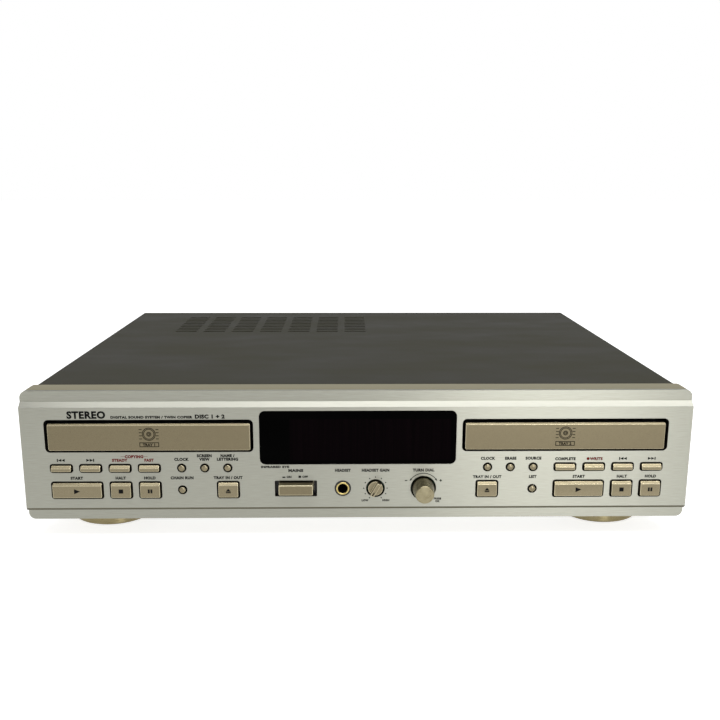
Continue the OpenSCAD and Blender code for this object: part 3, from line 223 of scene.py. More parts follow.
# The champagne paint on rounded edges of keys, buttons and doors: paler, a painted highlight along folds
# and rims
EDGE_HIGHLIGHT = finish(
    "champagne_with_painted_edge_highlight", ("#c9bf9f", "#d8ceae"), (0.24, 0.32), (0.25, 0.25, 0.25), 0.002,
    FLAKE_PAINT)
# Rolled brass lip of the headphone socket: yellow and bright
BRASS = finish("rolled_brass", ("#b3a063", "#c7b67a"), (0.18, 0.26), (3, 3, 3), 0.003, METAL)
# The unlit display seen through the smoked window: dark wine, with the tube's upright wires
DISPLAY = finish(
    "smoked_display", ("#040203", "#090406"), (0.05, 0.08), (0.9, 5, 60), 0.0, DARK_WINDOW)


def film(name, tones):
    """A thin film of one colour, dull and slightly uneven: screen-printed ink, or painted shade in holes.
    """
    return finish(name, tones, (0.5, 0.65), (0.3, 0.3, 0.3), 0.004, INK_FILM)


def dyed(name, tones):
    """Moulded ABS of one colour, dyed through: plain, slightly glossy."""
    return finish(name, tones, (0.3, 0.42), (0.5, 0.5, 0.5), 0.01, PLASTIC)


# Near-black on the walls of the panel's holes: painted shade, so that the gaps round the keys look dark and
# deep
HOLE_SHADE = film("painted_shade_in_holes", ("#15130f", "#1d1a15"))
# Screen-printed inks of the captions, symbols and emblems
BLACK_INK = film("black_print", ("#040403", "#080706"))
RED_INK = film("red_print", ("#5a0d10", "#6a1416"))
BROWN_INK = film("brown_print", ("#1d1910", "#272217"))
PALE_INK = film("pale_print", ("#cfccc1", "#dcd9cf"))
# Inserts of the phono sockets
SOCKET_RED = dyed("dyed_red_abs", ("#8e1b1c", "#a02424"))
SOCKET_WHITE = dyed("dyed_white_abs", ("#cfcdc6", "#dbd9d2"))
SOCKET_ORANGE = dyed("dyed_orange_abs", ("#b0561c", "#c26526"))

# Triangles of a CAD node: how near two points are welded, and how little two faces turn that are joined
WELD_REACH = 0.001 * MM
FLAT = math.radians(1)
# Rounding of a CAD node's edges: by slot, of the other slots and of the power button, how many steps it
# has, and the least turn of an edge that is rounded
EDGE = {
    "champagne_paint": 0.25 * MM, "turned_aluminium": 0.15 * MM, "brushed_aluminium": 0.2 * MM,
    "frame_paint": 0.4 * MM, "cover_paint": 0.2 * MM, "gold_plating": 0.3 * MM,
}
EDGE_OTHERS = 0.12 * MM
POWER_EDGE = 0.4 * MM
EDGE_STEPS = 2
SHARP = math.radians(30)
# Shading follows the large faces fully
LARGE_FACES = 100


def soften(node, width, edge_highlight=None):
    """Rounds a CAD node's edges with modifiers: its loose triangles are welded and joined flat first.
    The rounded edges may take a paler material of their own: a painted highlight along them."""
    node.data.shade_smooth()
    weld = node.modifiers.new("weld", "WELD")
    weld.merge_threshold = WELD_REACH
    flat = node.modifiers.new("flat_faces", "DECIMATE")
    flat.decimate_type = "DISSOLVE"
    flat.angle_limit = FLAT
    flat.delimit = {"MATERIAL"}
    bevel = node.modifiers.new("edges", "BEVEL")
    bevel.width = width
    bevel.segments = EDGE_STEPS
    bevel.limit_method = "ANGLE"
    bevel.angle_limit = SHARP
    bevel.use_clamp_overlap = False
    if edge_highlight:
        node.data.materials.append(edge_highlight)
        bevel.material = len(node.data.materials) - 1
    level = node.modifiers.new("flat_shading", "WEIGHTED_NORMAL")
    level.mode = "FACE_AREA"
    level.weight = LARGE_FACES
    cut = node.modifiers.new("even_triangles", "TRIANGULATE")
    cut.ngon_method = "BEAUTY"
    cut.keep_custom_normals = True


def paint_faces(node, material, chosen):
    """Gives a second finish to the faces of a CAD node for which chosen(middle, normal) is true."""
    mesh = NODES[node].data
    mesh.materials.append(material)
    for face in mesh.polygons:
        if chosen(face.center, face.normal):
            face.material_index = len(mesh.materials) - 1


# The holes lie inside the main face, less these margins at its sides, its foot and its top
SIDE_MARGIN = 6 * MM
FOOT_MARGIN = 2 * MM
TOP_MARGIN = 1 * MM
# Shares of a face's normal along an axis: the most on a hole's wall, and the least on a bevel
WALL_SHARE = 0.5
BEVEL_SHARE = 0.3
# How far behind the panel's face the paint of a button ends, and how wide the frame's outer rim is
BUTTON_BACK = 5 * MM
FRAME_RIM = 3 * MM


def is_hole_wall(middle, normal):
    """True for the walls of the holes in the panel's main face."""
    across = abs(middle.x) < PANEL_HIGH.x - SIDE_MARGIN
    inside = across and FACE_LOW + FOOT_MARGIN < middle.z < FACE_HIGH - TOP_MARGIN
    return inside and abs(normal.y) < WALL_SHARE


def is_upper_bevel(middle, normal):
    """True for the bevel over the panel's main face."""
    return normal.y < -BEVEL_SHARE and normal.z > BEVEL_SHARE and middle.z > FACE_HIGH


def is_lower_bevel(middle, normal):
    """True for the small bevel under the panel's main face."""
    return normal.y < -BEVEL_SHARE and normal.z < -BEVEL_SHARE


def is_button_back(middle, normal):
    """True for the rim and plunger of a button behind the panel: unpainted black, also painted shade in the
    gap.
    """
    return middle.y > FACE_Y + BUTTON_BACK


def is_door_side(middle, normal):
    """True for the unpainted sides of a tray door, whose black is also painted shade in the gaps round it.
    """
    return abs(normal.y) < BEVEL_SHARE


def is_inner_frame(middle, normal):
    """True for the faces of the frame that aren't on its outer rim, which take black that is also painted
    shade.
    """
    away = middle - FRAME_MIDDLE
    near_rim = max(abs(away.x) - FRAME_HALF.x, abs(away.z) - FRAME_HALF.z) > -FRAME_RIM
    return not near_rim or normal.x * away.x + normal.z * away.z < 0


# Phono sockets: half the width of a coloured insert, and how far it stands out of the rear panel
INSERT_REACH = 6 * MM
INSERT_OUT = 1.1 * MM
INSERTS = {
    "line_out_left": SOCKET_WHITE, "line_in_left": SOCKET_WHITE,
    "line_out_right": SOCKET_RED, "line_in_right": SOCKET_RED,
    "coaxial_in": SOCKET_ORANGE, "coaxial_out": SOCKET_ORANGE,
}


def socket_part(axis, start, end):
    """A test for the faces of one phono socket that stand out of the rear panel from start to end."""
    def chosen(middle, normal):
        beside = math.hypot(middle.x - axis.x, middle.z - axis.z) < INSERT_REACH
        return beside and REAR_Y + start < middle.y < REAR_Y + end
    return chosen


def paint_phono_sockets():
    """A coloured insert and a nickel-plated barrel on each phono socket."""
    for name, colour in INSERTS.items():
        axis = MOUNTS[name]
        paint_faces("rear_sockets", colour, socket_part(axis, 0, INSERT_OUT))
        paint_faces("rear_sockets", FINISHES["bridge_steel"], socket_part(axis, INSERT_OUT, math.inf))


def dress(name, part):
    """Gives a CAD node its finish and rounded edges, and unpainted black that is also painted shade in
    gaps.
    """
    slot = part.data.materials[0].name.split(".")[0]
    deep = name == "power_button" or name.endswith("_tray_door")
    part.data.materials[0] = DEEP_PAINT if deep else FINISHES[slot]
    width = POWER_EDGE if name == "power_button" else EDGE.get(slot, EDGE_OTHERS)
    # Rounded edges on champagne parts take a paler tone: a painted highlight
    soften(part, width, EDGE_HIGHLIGHT if slot == "champagne_paint" else None)
    # Unpainted black backs and sides: their own moulding, and painted shade in the gaps round buttons and
    # doors
    if name.endswith("_button"):
        paint_faces(name, FINISHES["black_plastic"], is_button_back)
    elif name.endswith("_tray_door"):
        paint_faces(name, FINISHES["black_plastic"], is_door_side)


for node_name, node_part in NODES.items():
    dress(node_name, node_part)
# The walls of the panel's holes take near-black: painted shade in the gaps round the keys
paint_faces("front_panel", HOLE_SHADE, is_hole_wall)
# The upper bevel takes a paler tone: a painted highlight
paint_faces("front_panel", BEVEL_HIGHLIGHT, is_upper_bevel)
# The small bevel under the main face takes a dark tone: painted shade
paint_faces("front_panel", LOWER_EDGE_SHADE, is_lower_bevel)
# The frame is black inside its rim: its own moulding, and painted shade behind the panel's holes
paint_faces("front_frame", FINISHES["black_plastic"], is_inner_frame)
paint_phono_sockets()


def piece(name, bm, material, body):
    """Makes a mesh object of a bmesh, which rides a body and, where one is named, takes a slot's finish."""
    mesh = bpy.data.meshes.new(name)
    bmesh.ops.recalc_face_normals(bm, faces=bm.faces)
    bm.to_mesh(mesh)
    bm.free()
    mesh.materials.append(material)
    made = bpy.data.objects.new(name, mesh)
    bpy.context.scene.collection.objects.link(made)
    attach(made, body)


def centre(node):
    """Middle of a CAD node's box, seen from the front: x and z."""
    low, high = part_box(node)
    return (low.x + high.x) / 2, (low.z + high.z) / 2


def surface(node, x, z):
    """Depth at which a line along Y from the front first meets a CAD node."""
    mesh = NODES[node].data
    tree = BVHTree.FromPolygons([v.co for v in mesh.vertices], [p.vertices for p in mesh.polygons])
    return tree.ray_cast(Vector((x, -1, z)), Vector((0, 1, 0)))[0].y


# Type: the height of its capitals as a share of its size, how finely its curves are drawn, how much the
# strokes of small and of large type are thickened, and how far apart the letters stand
CAP_SHARE = 0.73
CURVE_STEPS = 3
BOLD = 0.064
TITLE_BOLD = 0.05
SPACING = 1.1
# How finely dots, rings and, for each radian, arcs are drawn
DOT_STEPS = 20
RING_STEPS = 48
ARC_STEPS = 12
# Turns of flat drawings: upright on the front, and round to the rear
TURN_UP = Matrix.Rotation(math.pi / 2, 4, "X")
TURN_ROUND = Matrix.Rotation(math.pi, 4, "Z")


def letter(bm, words, cap, x, z, y, align="CENTER", weight=BOLD, width=None, rear=False):
    """Adds a line of type whose capitals have their middle at z, on a surface at y, fitted to a width."""
    size = cap / CAP_SHARE
    curve = bpy.data.curves.new("type", "FONT")
    curve.body = words
    curve.align_x = align
    curve.offset = weight
    curve.space_character = SPACING
    curve.extrude = INK / size
    curve.resolution_u = CURVE_STEPS
    holder = bpy.data.objects.new("type", curve)
    mesh = bpy.data.meshes.new_from_object(holder)
    drawn = [v.co.x for v in mesh.vertices]
    stretch = width / (size * (max(drawn) - min(drawn))) if width else 1.0
    turn = TURN_ROUND @ TURN_UP if rear else TURN_UP
    shape = Matrix.Diagonal((size * stretch, size, size, 1))
    mesh.transform(Matrix.Translation((x, y, z - cap / 2)) @ turn @ shape)
    bm.from_mesh(mesh)
    bpy.data.objects.remove(holder)
    bpy.data.curves.remove(curve)
    bpy.data.meshes.remove(mesh)


def bar(bm, w, h, x, z, y, turn=0.0, depth=2 * INK):
    """Adds a rectangle, printed unless a depth is given, turned clockwise seen from the front."""
    made = bmesh.ops.create_cube(bm, size=1.0)["verts"]
    shape = Matrix.Rotation(turn, 4, "Y") @ Matrix.Diagonal((w, depth, h, 1))
    bmesh.ops.transform(bm, matrix=Matrix.Translation((x, y, z)) @ shape, verts=made)


def box_line(bm, w, h, line, x, z, y):
    """Adds a printed frame of four lines."""
    for side in (-1, 1):
        bar(bm, w, line, x, z + side * (h - line) / 2, y)
        bar(bm, line, h - 2 * line, x + side * (w - line) / 2, z, y)


def wedge(bm, w, h, x, z, y, turn=0.0):
    """Adds a printed triangle that points to +X and is then turned clockwise, seen from the front."""
    made = bmesh.ops.create_cone(
        bm, cap_ends=True, segments=3, radius1=1.0, radius2=1.0, depth=2 * INK)["verts"]
    bmesh.ops.rotate(bm, verts=made, cent=(0, 0, 0), matrix=Matrix.Rotation(-math.pi / 2, 3, "Z"))
    low, high = min(v.co.x for v in made), max(v.co.x for v in made)
    side = max(v.co.y for v in made)
    middle = Matrix.Translation((-(low + high) / 2, 0, 0))
    shape = Matrix.Diagonal((w / (high - low), h / 2 / side, 1, 1)) @ middle
    place = Matrix.Translation((x, y, z)) @ Matrix.Rotation(turn, 4, "Y") @ TURN_UP
    bmesh.ops.transform(bm, matrix=place @ shape, verts=made)


def dot(bm, radius, x, z, y):
    """Adds a printed round dot."""
    made = bmesh.ops.create_cone(
        bm, cap_ends=True, segments=DOT_STEPS, radius1=radius, radius2=radius, depth=2 * INK)["verts"]
    bmesh.ops.transform(bm, matrix=Matrix.Translation((x, y, z)) @ TURN_UP, verts=made)


def arc(bm, radius, line, x, z, y, sweep):
    """Adds a printed arc about x, z, from the top. Its sweep is clockwise, seen from the front."""
    made = bmesh.ops.create_cube(bm, size=1.0)["verts"]
    stub = Matrix.Translation((0, 0, radius)) @ Matrix.Diagonal((line / 10, 2 * INK, line, 1))
    bmesh.ops.transform(bm, matrix=Matrix.Translation((x, y, z)) @ stub, verts=made)
    bm.normal_update()
    along = Vector((math.copysign(1, sweep), 0, 0))
    ends = {f for v in made for f in v.link_faces}
    ahead = max(ends, key=lambda f: f.normal.dot(along))
    bmesh.ops.spin(
        bm, geom=[ahead], cent=(x, y, z), axis=(0, 1, 0), angle=sweep,
        steps=round(abs(sweep) * ARC_STEPS), use_merge=False)


def lathe(bm, profile, x, z):
    """Adds a ring: a closed profile of radius and depth, spun about a line along Y through x, z."""
    verts = [bm.verts.new((x + r, y, z)) for r, y in profile]
    edges = [bm.edges.new((a, b)) for a, b in zip(verts, verts[1:] + verts[:1])]
    bmesh.ops.spin(
        bm, geom=verts + edges, cent=(x, 0, z), axis=(0, 1, 0), angle=2 * math.pi, steps=RING_STEPS,
        use_merge=True)


def skip_symbol(bm, way, x, z, y):
    """Adds a skip symbol: two triangles and a bar, towards -X or +X."""
    tall, wide, line = 2.0 * MM, 2.2 * MM, 0.7 * MM
    for step in (-0.5, 0.5):
        wedge(bm, wide, tall, x + step * wide - way * line / 2, z, y, 0 if way > 0 else math.pi)
    bar(bm, line, tall, x + way * wide, z, y)


# Captions over the keys: generic words, in one or two lines. A key's rim overlaps its hole from behind.
# The gaps are from the hole to the capitals
KEY_RIM = 1.2 * MM
CAP = 1.85 * MM
LINE_PITCH = 2.4 * MM
CAPTION_GAP = {"tall": 1.4 * MM, "key": 1.6 * MM, "dot": 2.1 * MM}
CAPTIONS = [
    ("left_play_button", "tall", "START"), ("left_stop_button", "tall", "HALT"),
    ("left_pause_button", "tall", "HOLD"), ("left_eject_button", "tall", "TRAY IN / OUT"),
    ("left_time_button", "dot", "CLOCK"), ("left_display_button", "dot", "SCREEN", "VIEW"),
    ("left_title_button", "dot", "NAME /", "LETTERING"),
    ("right_time_button", "dot", "CLOCK"), ("right_clear_button", "dot", "ERASE"),
    ("right_input_button", "dot", "SOURCE"), ("right_finalize_button", "key", "COMPLETE"),
    ("right_eject_button", "tall", "TRAY IN / OUT"), ("right_play_button", "tall", "START"),
    ("right_stop_button", "tall", "HALT"), ("right_pause_button", "tall", "HOLD"),
]
# The lower round buttons take the height of their captions from the tall keys beside them
LOW_DOT_CAPTIONS = [("left", "mode", "CHAIN RUN"), ("right", "menu", "LIST")]
RED_CAPTIONS = [("left_copy_normal_button", "STEADY"), ("left_copy_fast_button", "FAST")]
# The lines beside the red word over both copy keys: size, and place from its middle
COPY_LINE = (2.6 * MM, 0.2 * MM)
COPY_LINE_OUT = 7.4 * MM
# The record key's caption: the dot's radius, and the places of dot and word from the key's middle
RECORD_DOT_R = 1.0 * MM
RECORD_DOT_X = -4.0 * MM
RECORD_WORD_X = 1.4 * MM


def caption_place(node, kind):
    """Middle of the lowest line of a key's caption."""
    x, z = centre(node)
    low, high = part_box(node)
    half_hole = (high.z - low.z) / 2 - KEY_RIM
    return x, z + half_hole + CAPTION_GAP[kind] + CAP / 2


def add_key_captions(black):
    """Black captions and skip symbols over the keys."""
    for node, kind, *lines in CAPTIONS:
        x, z = caption_place(node, kind)
        for rise, words in enumerate(reversed(lines)):
            letter(black, words, CAP, x, z + rise * LINE_PITCH, FACE_Y)
    for side, name, words in LOW_DOT_CAPTIONS:
        x = centre(f"{side}_{name}_button")[0]
        letter(black, words, CAP, x, caption_place(f"{side}_stop_button", "tall")[1], FACE_Y)
    for side in ("left", "right"):
        for way, name in ((-1, "back"), (1, "forward")):
            x, z = caption_place(f"{side}_skip_{name}_button", "key")
            skip_symbol(black, way, x, z, FACE_Y)


def add_red_captions(red):
    """Red captions over the copy keys, with a word between two lines over both, and the record key."""
    for node, words in RED_CAPTIONS:
        letter(red, words, CAP, *caption_place(node, "key"), FACE_Y)
    slow, fast = (caption_place(node, "key") for node, _ in RED_CAPTIONS)
    x, z = (slow[0] + fast[0]) / 2, slow[1] + LINE_PITCH
    letter(red, "COPYING", CAP, x, z, FACE_Y)
    for side in (-1, 1):
        bar(red, *COPY_LINE, x + side * COPY_LINE_OUT, z, FACE_Y)
    x, z = caption_place("right_record_button", "key")
    dot(red, RECORD_DOT_R, x + RECORD_DOT_X, z, FACE_Y)
    letter(red, "WRITE", CAP, x + RECORD_WORD_X, z, FACE_Y)


# Words over the left tray: height of the capitals, place from the door's upper left corner, width, weight
TITLES = [
    ("STEREO", 4.7 * MM, 25.6 * MM, 6.1 * MM, 24.8 * MM, TITLE_BOLD),
    ("DIGITAL SOUND SYSTEM / TWIN COPIER", 1.6 * MM, 67.3 * MM, 4.4 * MM, 52.6 * MM, BOLD),
    ("DISC 1 + 2", 2.5 * MM, 104.8 * MM, 4.8 * MM, 19.2 * MM, BOLD),
]


def add_titles(black):
    """The line of words over the left tray, one of them large."""
    low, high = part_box("left_tray_door")
    for words, cap, right, rise, width, weight in TITLES:
        letter(black, words, cap, low.x + right, high.z + rise, FACE_Y, weight=weight, width=width)


# The words at the window's lower left corner: place from that corner, and width
SMALL_CAP = 1.4 * MM
EYE_RIGHT = 1.8 * MM
EYE_DROP = 0.4 * MM
EYE_WIDTH = 18.4 * MM
# The row of captions under the window: its height over the power button's middle, and the words' widths
MIDDLE_RISE = 12.5 * MM
MIDDLE_CAPTIONS = [
    ("power_button", "MAINS", 9.8 * MM), ("headphone_jack", "HEADSET", 10.3 * MM),
    ("level_knob", "HEADSET GAIN", 18.1 * MM), ("jog_knob", "TURN DIAL", None),
]
# States of the power button: the word and its place, then its mark's size and place from the word's row
STATE_RISE = 8.1 * MM
STATES = [
    ("ON", -4.4 * MM, (2.0 * MM, 0.9 * MM), -7.8 * MM, -0.3 * MM),
    ("OFF", 6.1 * MM, (1.7 * MM, 1.5 * MM), 2.6 * MM, 0.0),
]


def add_middle_captions(black):
    """Words under the window, and the two states of the power button."""
    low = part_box("display_window")[0]
    place = (low.x + EYE_RIGHT, low.z - EYE_DROP, FACE_Y)
    letter(black, "INFRARED EYE", SMALL_CAP, *place, "LEFT", width=EYE_WIDTH)
    x, z = centre("power_button")
    for node, words, width in MIDDLE_CAPTIONS:
        letter(black, words, CAP, centre(node)[0], z + MIDDLE_RISE, FACE_Y, width=width)
    row = z + STATE_RISE
    for words, word_x, mark, mark_x, mark_rise in STATES:
        bar(black, *mark, x + mark_x, row + mark_rise, FACE_Y)
        letter(black, words, SMALL_CAP, x + word_x, row, FACE_Y)


# Dial of the level knob: its turn from the lowest to the highest mark, its dots and its words
DIAL_CAP = 1.3 * MM
LEVEL_SWEEP = math.radians(300)
LEVEL_DOTS = 11
LEVEL_DOT_R = 0.42 * MM
LEVEL_DIAL_R = 7.7 * MM
LEVEL_WORD_OUT = 6.9 * MM
LEVEL_WORD_DROP = 8.4 * MM
# Dial of the jog: an arc to each side with an arrowhead, a minus and a plus sign, and two words
JOG_SWEEP = math.radians(57)
JOG_DIAL_R = 10.2 * MM
JOG_LINE = 0.45 * MM
JOG_TIP = (1.8 * MM, 1.3 * MM)
SIGN_LONG = 1.7 * MM
SIGN_LINE = 0.55 * MM
SIGN_OUT = 11.4 * MM
SIGN_RISE = 5.2 * MM
JOG_WORDS = [("PRESS", 7.4 * MM), ("OK", 9.2 * MM)]
JOG_WORD_OUT = 9.5 * MM


def add_level_dial(black):
    """Dots round the level knob, and a word at each end of its turn."""
    x, z = centre("level_knob")
    for i in range(LEVEL_DOTS):
        turn = LEVEL_SWEEP * (i / (LEVEL_DOTS - 1) - 0.5)
        dot_x = x + LEVEL_DIAL_R * math.sin(turn)
        dot_z = z + LEVEL_DIAL_R * math.cos(turn)
        dot(black, LEVEL_DOT_R, dot_x, dot_z, FACE_Y)
    for side, words in ((-1, "LOW"), (1, "HIGH")):
        letter(black, words, DIAL_CAP, x + side * LEVEL_WORD_OUT, z - LEVEL_WORD_DROP, FACE_Y)


def add_jog_dial(black):
    """Arcs with arrowheads and signs over the jog, and words at its lower right."""
    x, z = centre("jog_knob")
    for side in (-1, 1):
        end = side * JOG_SWEEP
        arc(black, JOG_DIAL_R, JOG_LINE, x, z, FACE_Y, end)
        tip_x = x + JOG_DIAL_R * math.sin(end)
        tip_z = z + JOG_DIAL_R * math.cos(end)
        wedge(black, *JOG_TIP, tip_x, tip_z, FACE_Y, end if side > 0 else end + math.pi)
        bar(black, SIGN_LONG, SIGN_LINE, x + side * SIGN_OUT, z + SIGN_RISE, FACE_Y)
    bar(black, SIGN_LINE, SIGN_LONG, x + SIGN_OUT, z + SIGN_RISE, FACE_Y)
    for words, drop in JOG_WORDS:
        letter(black, words, DIAL_CAP, x + JOG_WORD_OUT, z - drop, FACE_Y)


def add_front_print():
    """Everything that is printed on the panel."""
    black, red = bmesh.new(), bmesh.new()
    add_key_captions(black)
    add_red_captions(red)
    add_titles(black)
    add_middle_captions(black)
    add_level_dial(black)
    add_jog_dial(black)
    piece("black_captions", black, BLACK_INK, "chassis")
    piece("red_captions", red, RED_INK, "chassis")


# The level knob's pointer: size, and place from the knob's middle along its grip
POINTER = (0.7 * MM, 2.6 * MM)
POINTER_R = 3.1 * MM


def add_level_pointer():
    """A dark line at the end of the level knob's grip, which stands at the lowest mark."""
    x, z = centre("level_knob")
    turn = -LEVEL_SWEEP / 2
    x += POINTER_R * math.sin(turn)
    z += POINTER_R * math.cos(turn)
    bm = bmesh.new()
    bar(bm, *POINTER, x, z, surface("level_knob", x, z), turn)
    piece("level_pointer", bm, BLACK_INK, "level_knob")


# Symbols of the tall keys: widths and heights, and places from their middle, which is under the key's
SYMBOL_DROP = 0.5 * MM
PLAY = (3.9 * MM, 3.4 * MM)
STOP = (2.9 * MM, 2.8 * MM)
PAUSE_BAR = (1.25 * MM, 2.7 * MM)
PAUSE_BAR_OUT = 0.85 * MM
EJECT_TIP = (2.0 * MM, 3.4 * MM)
EJECT_TIP_RISE = 0.6 * MM
EJECT_BAR = (3.2 * MM, 0.8 * MM)
EJECT_BAR_DROP = 1.1 * MM


def add_key_symbols():
    """Symbols on the faces of the tall keys, which move with them."""
    for side in ("left", "right"):
        for kind in ("play", "stop", "pause", "eject"):
            button = f"{side}_{kind}_button"
            x, z = centre(button)
            z -= SYMBOL_DROP
            y = surface(button, x, z)
            bm = bmesh.new()
            if kind == "play":
                wedge(bm, *PLAY, x, z, y)
            elif kind == "stop":
                bar(bm, *STOP, x, z, y)
            elif kind == "pause":
                for way in (-1, 1):
                    bar(bm, *PAUSE_BAR, x + way * PAUSE_BAR_OUT, z, y)
            else:
                wedge(bm, *EJECT_TIP, x, z + EJECT_TIP_RISE, y, -math.pi / 2)
                bar(bm, *EJECT_BAR, x, z - EJECT_BAR_DROP, y)
            piece(f"{button}_symbol", bm, BLACK_INK, button)


# Emblem of a tray door: rings, with rays at both sides of them, over a word in a box
EMBLEM_LINE = 0.5 * MM
EMBLEM_RISE = 2.0 * MM
RINGS = (4.4 * MM, 3.6 * MM, 1.6 * MM, 0.9 * MM)
RAYS = 4
RAY_LONG = 1.9 * MM
RAY_OUT = 5.4 * MM
RAY_PITCH = 2.1 * MM
TRAY_BOX = (12.7 * MM, 3.2 * MM)
TRAY_BOX_DROP = 5.1 * MM
TRAY_CAP = 1.7 * MM


def add_door_marks():
    """A plain disc emblem and a number on each tray door."""
    for side, number in (("left", "TRAY 1"), ("right", "TRAY 2")):
        door = f"{side}_tray_door"
        x, z = centre(door)
        y = surface(door, x, z)
        bm = bmesh.new()
        middle = z + EMBLEM_RISE
        for outer in RINGS:
            inner = outer - EMBLEM_LINE
            profile = [(outer, y - INK), (outer, y + INK), (inner, y + INK), (inner, y - INK)]
            lathe(bm, profile, x, middle)
        for way in (-1, 1):
            for row in range(RAYS):
                ray_z = middle + (row - (RAYS - 1) / 2) * RAY_PITCH
                bar(bm, RAY_LONG, EMBLEM_LINE, x + way * RAY_OUT, ray_z, y)
        box_line(bm, *TRAY_BOX, EMBLEM_LINE, x, z - TRAY_BOX_DROP, y)
        letter(bm, number, TRAY_CAP, x, z - TRAY_BOX_DROP, y)
        piece(f"{side}_door_mark", bm, BROWN_INK, f"{side}_tray")


# Lip of the headphone socket: radius of its middle, half its width, its height and its steps
LIP_R = 3.8 * MM
LIP_HALF = 0.55 * MM
LIP_HIGH = 0.4 * MM
LIP_STEPS = 8


def add_jack_ring():
    """The rolled brass lip of the headphone socket."""
    x, z = centre("headphone_jack")
    y = surface("headphone_jack", x + LIP_R, z)
    profile = []
    for i in range(LIP_STEPS + 1):
        turn = math.pi * i / LIP_STEPS
        profile.append((LIP_R + LIP_HALF * math.cos(turn), y - LIP_HIGH * math.sin(turn)))
    bm = bmesh.new()
    lathe(bm, profile, x, z)
    piece("headphone_jack_ring", bm, BRASS, "chassis")


# The display area: size, and place from the window's middle
DISPLAY_AREA = (105 * MM, 28 * MM)
DISPLAY_RIGHT = 8 * MM
DISPLAY_DROP = 1.5 * MM


def add_display():
    """The unlit display area, laid on the window a little to the right of its middle."""
    x, z = centre("display_window")
    y = surface("display_window", x, z)
    bm = bmesh.new()
    bar(bm, *DISPLAY_AREA, x + DISPLAY_RIGHT, z - DISPLAY_DROP, y)
    piece("display_area", bm, DISPLAY, "chassis")


# Flanges of the frame: thickness, gap to the cover's front edge, how far they reach in past the cover's
# side, and how far they stop short of the frame's outside, at its sides and at its top and foot
FLANGE_THICK = 1 * MM
FLANGE_GAP = 0.3 * MM
FLANGE_REACH = 0.9 * MM
SHORT_AT_SIDES = 1.5 * MM
SHORT_AT_ENDS = 2 * MM


def add_frame_flanges():
    """Flanges that close the frame beside the cover, which is narrower."""
    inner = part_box("top_cover")[1].x - FLANGE_REACH
    outer = FRAME_HIGH.x - SHORT_AT_SIDES
    tall = FRAME_HIGH.z - FRAME_LOW.z - 2 * SHORT_AT_ENDS
    y = FRAME_HIGH.y - FLANGE_GAP - FLANGE_THICK / 2
    bm = bmesh.new()
    for side in (-1, 1):
        x = side * (inner + outer) / 2
        bar(bm, outer - inner, tall, x, FRAME_MIDDLE.z, y, depth=FLANGE_THICK)
    piece("frame_flanges", bm, FINISHES["frame_paint"], "chassis")


# Rear captions: words, the socket that they stand over, and how far above its middle
REAR_CAP = 2.4 * MM
SOCKET_RISE = 9.5 * MM
INLET_RISE = 13 * MM
REAR_CAPTIONS = [
    ("LINE IN", "line_in_left", SOCKET_RISE), ("LINE OUT", "line_out_left", SOCKET_RISE),
    ("COAXIAL", "coaxial_out", SOCKET_RISE), ("OPTICAL", "optical_out", SOCKET_RISE),
    ("AC IN", "mains_inlet", INLET_RISE),
]
# Words beside single sockets, and how far from the socket's middle
REAR_SMALL_CAP = 2.0 * MM
BESIDE_SOCKET = 10.5 * MM
REAR_LETTERS = [
    ("L", "line_in_left"), ("R", "line_in_right"), ("L", "line_out_left"), ("R", "line_out_right"),
    ("OUT", "coaxial_out"), ("IN", "coaxial_in"), ("OUT", "optical_out"), ("IN", "optical_in"),
]


def add_rear_print():
    """Pale captions over and beside the sockets."""
    bm = bmesh.new()
    for words, socket, rise in REAR_CAPTIONS:
        place = MOUNTS[socket]
        letter(bm, words, REAR_CAP, place.x, place.z + rise, REAR_Y, rear=True)
    for words, socket in REAR_LETTERS:
        place = MOUNTS[socket]
        letter(bm, words, REAR_SMALL_CAP, place.x + BESIDE_SOCKET, place.z, REAR_Y, rear=True)
    piece("rear_captions", bm, PALE_INK, "chassis")


add_frame_flanges()
add_front_print()
add_key_symbols()
add_door_marks()
add_level_pointer()
add_jack_ring()
add_display()
add_rear_print()


# Camera: placed where the photograph's own perspective puts it. Angles in radians, lens in millimetres
CAMERA_PLACE = Vector((-7.7, -680.8, 234.6)) * MM
CAMERA_PITCH = 0.2137
CAMERA_YAW = 0.017
CAMERA_ROLL = 0.0021
CAMERA_LENS = 41.96
CAMERA_SENSOR = 36
CAMERA_NEAR = 10 * MM


def add_camera():
    """The camera of the main view."""
    camera = bpy.data.objects.new("camera", bpy.data.cameras.new("camera"))
    camera.data.lens = CAMERA_LENS
    camera.data.sensor_width = CAMERA_SENSOR
    camera.data.clip_start = CAMERA_NEAR
    turn = (Matrix.Rotation(-CAMERA_YAW, 4, "Z") @ Matrix.Rotation(math.pi / 2 - CAMERA_PITCH, 4, "X")
            @ Matrix.Rotation(CAMERA_ROLL, 4, "Z"))
    camera.matrix_world = Matrix.Translation(CAMERA_PLACE) @ turn
    bpy.context.scene.collection.objects.link(camera)
    bpy.context.scene.camera = camera


# Lamps, in metres and watts: place, the point that it is turned to, width, height and power
LAMPS = {
    "top_light": ((0.22, -0.52, 1.5), (0.22, -0.2, 0.05), 1.95, 0.55, 12.8),
    "top_right_light": ((0.5, -0.52, 1.51), (0.5, -0.2, 0.05), 1.4, 0.55, 3.9),
    "right_light": ((0.44, -1.5, 0.11), (0.1, -0.1, 0.05), 0.46, 0.2, 3.6),
}


def add_softbox(name, place, target, wide, high, power):
    """A rectangular lamp, wide across and high up, turned to a target."""
    lamp = bpy.data.lights.new(name, "AREA")
    lamp.shape = "RECTANGLE"
    lamp.size = wide
    lamp.size_y = high
    lamp.energy = power
    holder = bpy.data.objects.new(name, lamp)
    holder.location = place
    holder.rotation_euler = (Vector(target) - Vector(place)).to_track_quat("-Z", "Y").to_euler()
    bpy.context.scene.collection.objects.link(holder)


# The studio is white up to the first of these heights, the sine of an angle, and grey from the second
WHITE_TO = 0.2
GREY_FROM = 0.5
GREY = 0.35


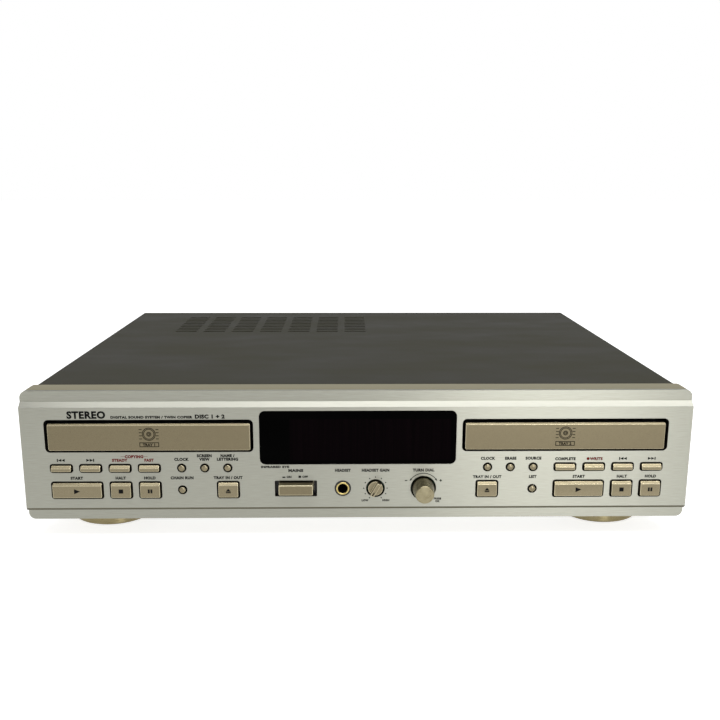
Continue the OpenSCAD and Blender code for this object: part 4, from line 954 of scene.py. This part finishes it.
def add_world():
    """White walls, which are all that the camera sees of the studio, under a greyer ceiling."""
    world = bpy.data.worlds.new("studio")
    bpy.context.scene.world = world
    world.use_nodes = True
    background = world.node_tree.nodes["Background"]
    background.inputs["Color"].default_value = linear("#ffffff")
    way = add_node(world, "ShaderNodeTexCoord")
    parts = add_node(world, "ShaderNodeSeparateXYZ", links={"Vector": way.outputs["Generated"]})
    strength = add_node(
        world, "ShaderNodeMapRange",
        {"From Min": WHITE_TO, "From Max": GREY_FROM, "To Min": 1.0, "To Max": GREY},
        {"Value": parts.outputs["Z"]})
    world.node_tree.links.new(strength.outputs["Result"], background.inputs["Strength"])


# The floor's reach in metres, its own white, to the camera and in gloss or glass, and the share of light
# that it throws back
FLOOR_REACH = 8.0
FLOOR_GLOW = 0.76
FLOOR_GLOW_IN_GLOSS = 0.6
FLOOR_TONE = 0.75


def add_floor():
    """A plain pale floor, which keeps the object's shadow and meets the white behind it."""
    bm = bmesh.new()
    bmesh.ops.create_grid(bm, x_segments=1, y_segments=1, size=FLOOR_REACH)
    mesh = bpy.data.meshes.new("floor")
    bm.to_mesh(mesh)
    bm.free()
    material = bpy.data.materials.new("white_floor")
    material.use_nodes = True
    shader = material.node_tree.nodes["Principled BSDF"]
    shader.inputs["Base Color"].default_value = [FLOOR_TONE] * 3 + [1]
    shader.inputs["Roughness"].default_value = 1.0
    shader.inputs["Specular IOR Level"].default_value = 0.0
    shader.inputs["Emission Color"].default_value = linear("#ffffff")
    path = add_node(material, "ShaderNodeLightPath")
    bounced = add_node(
        material, "ShaderNodeMath", operation="MAXIMUM",
        links={0: path.outputs["Is Glossy Ray"], 1: path.outputs["Is Transmission Ray"]})
    in_gloss = add_node(
        material, "ShaderNodeMath", {1: FLOOR_GLOW_IN_GLOSS}, {0: bounced.outputs[0]},
        operation="MULTIPLY")
    strength = add_node(
        material, "ShaderNodeMath", {1: FLOOR_GLOW},
        {0: path.outputs["Is Camera Ray"], 2: in_gloss.outputs[0]}, operation="MULTIPLY_ADD")
    material.node_tree.links.new(strength.outputs[0], shader.inputs["Emission Strength"])
    mesh.materials.append(material)
    floor = bpy.data.objects.new("floor", mesh)
    bpy.context.scene.collection.objects.link(floor)


add_camera()
add_world()
add_floor()
for lamp_name, lamp_values in LAMPS.items():
    add_softbox(lamp_name, *lamp_values)
bpy.context.scene.view_settings.view_transform = "Standard"
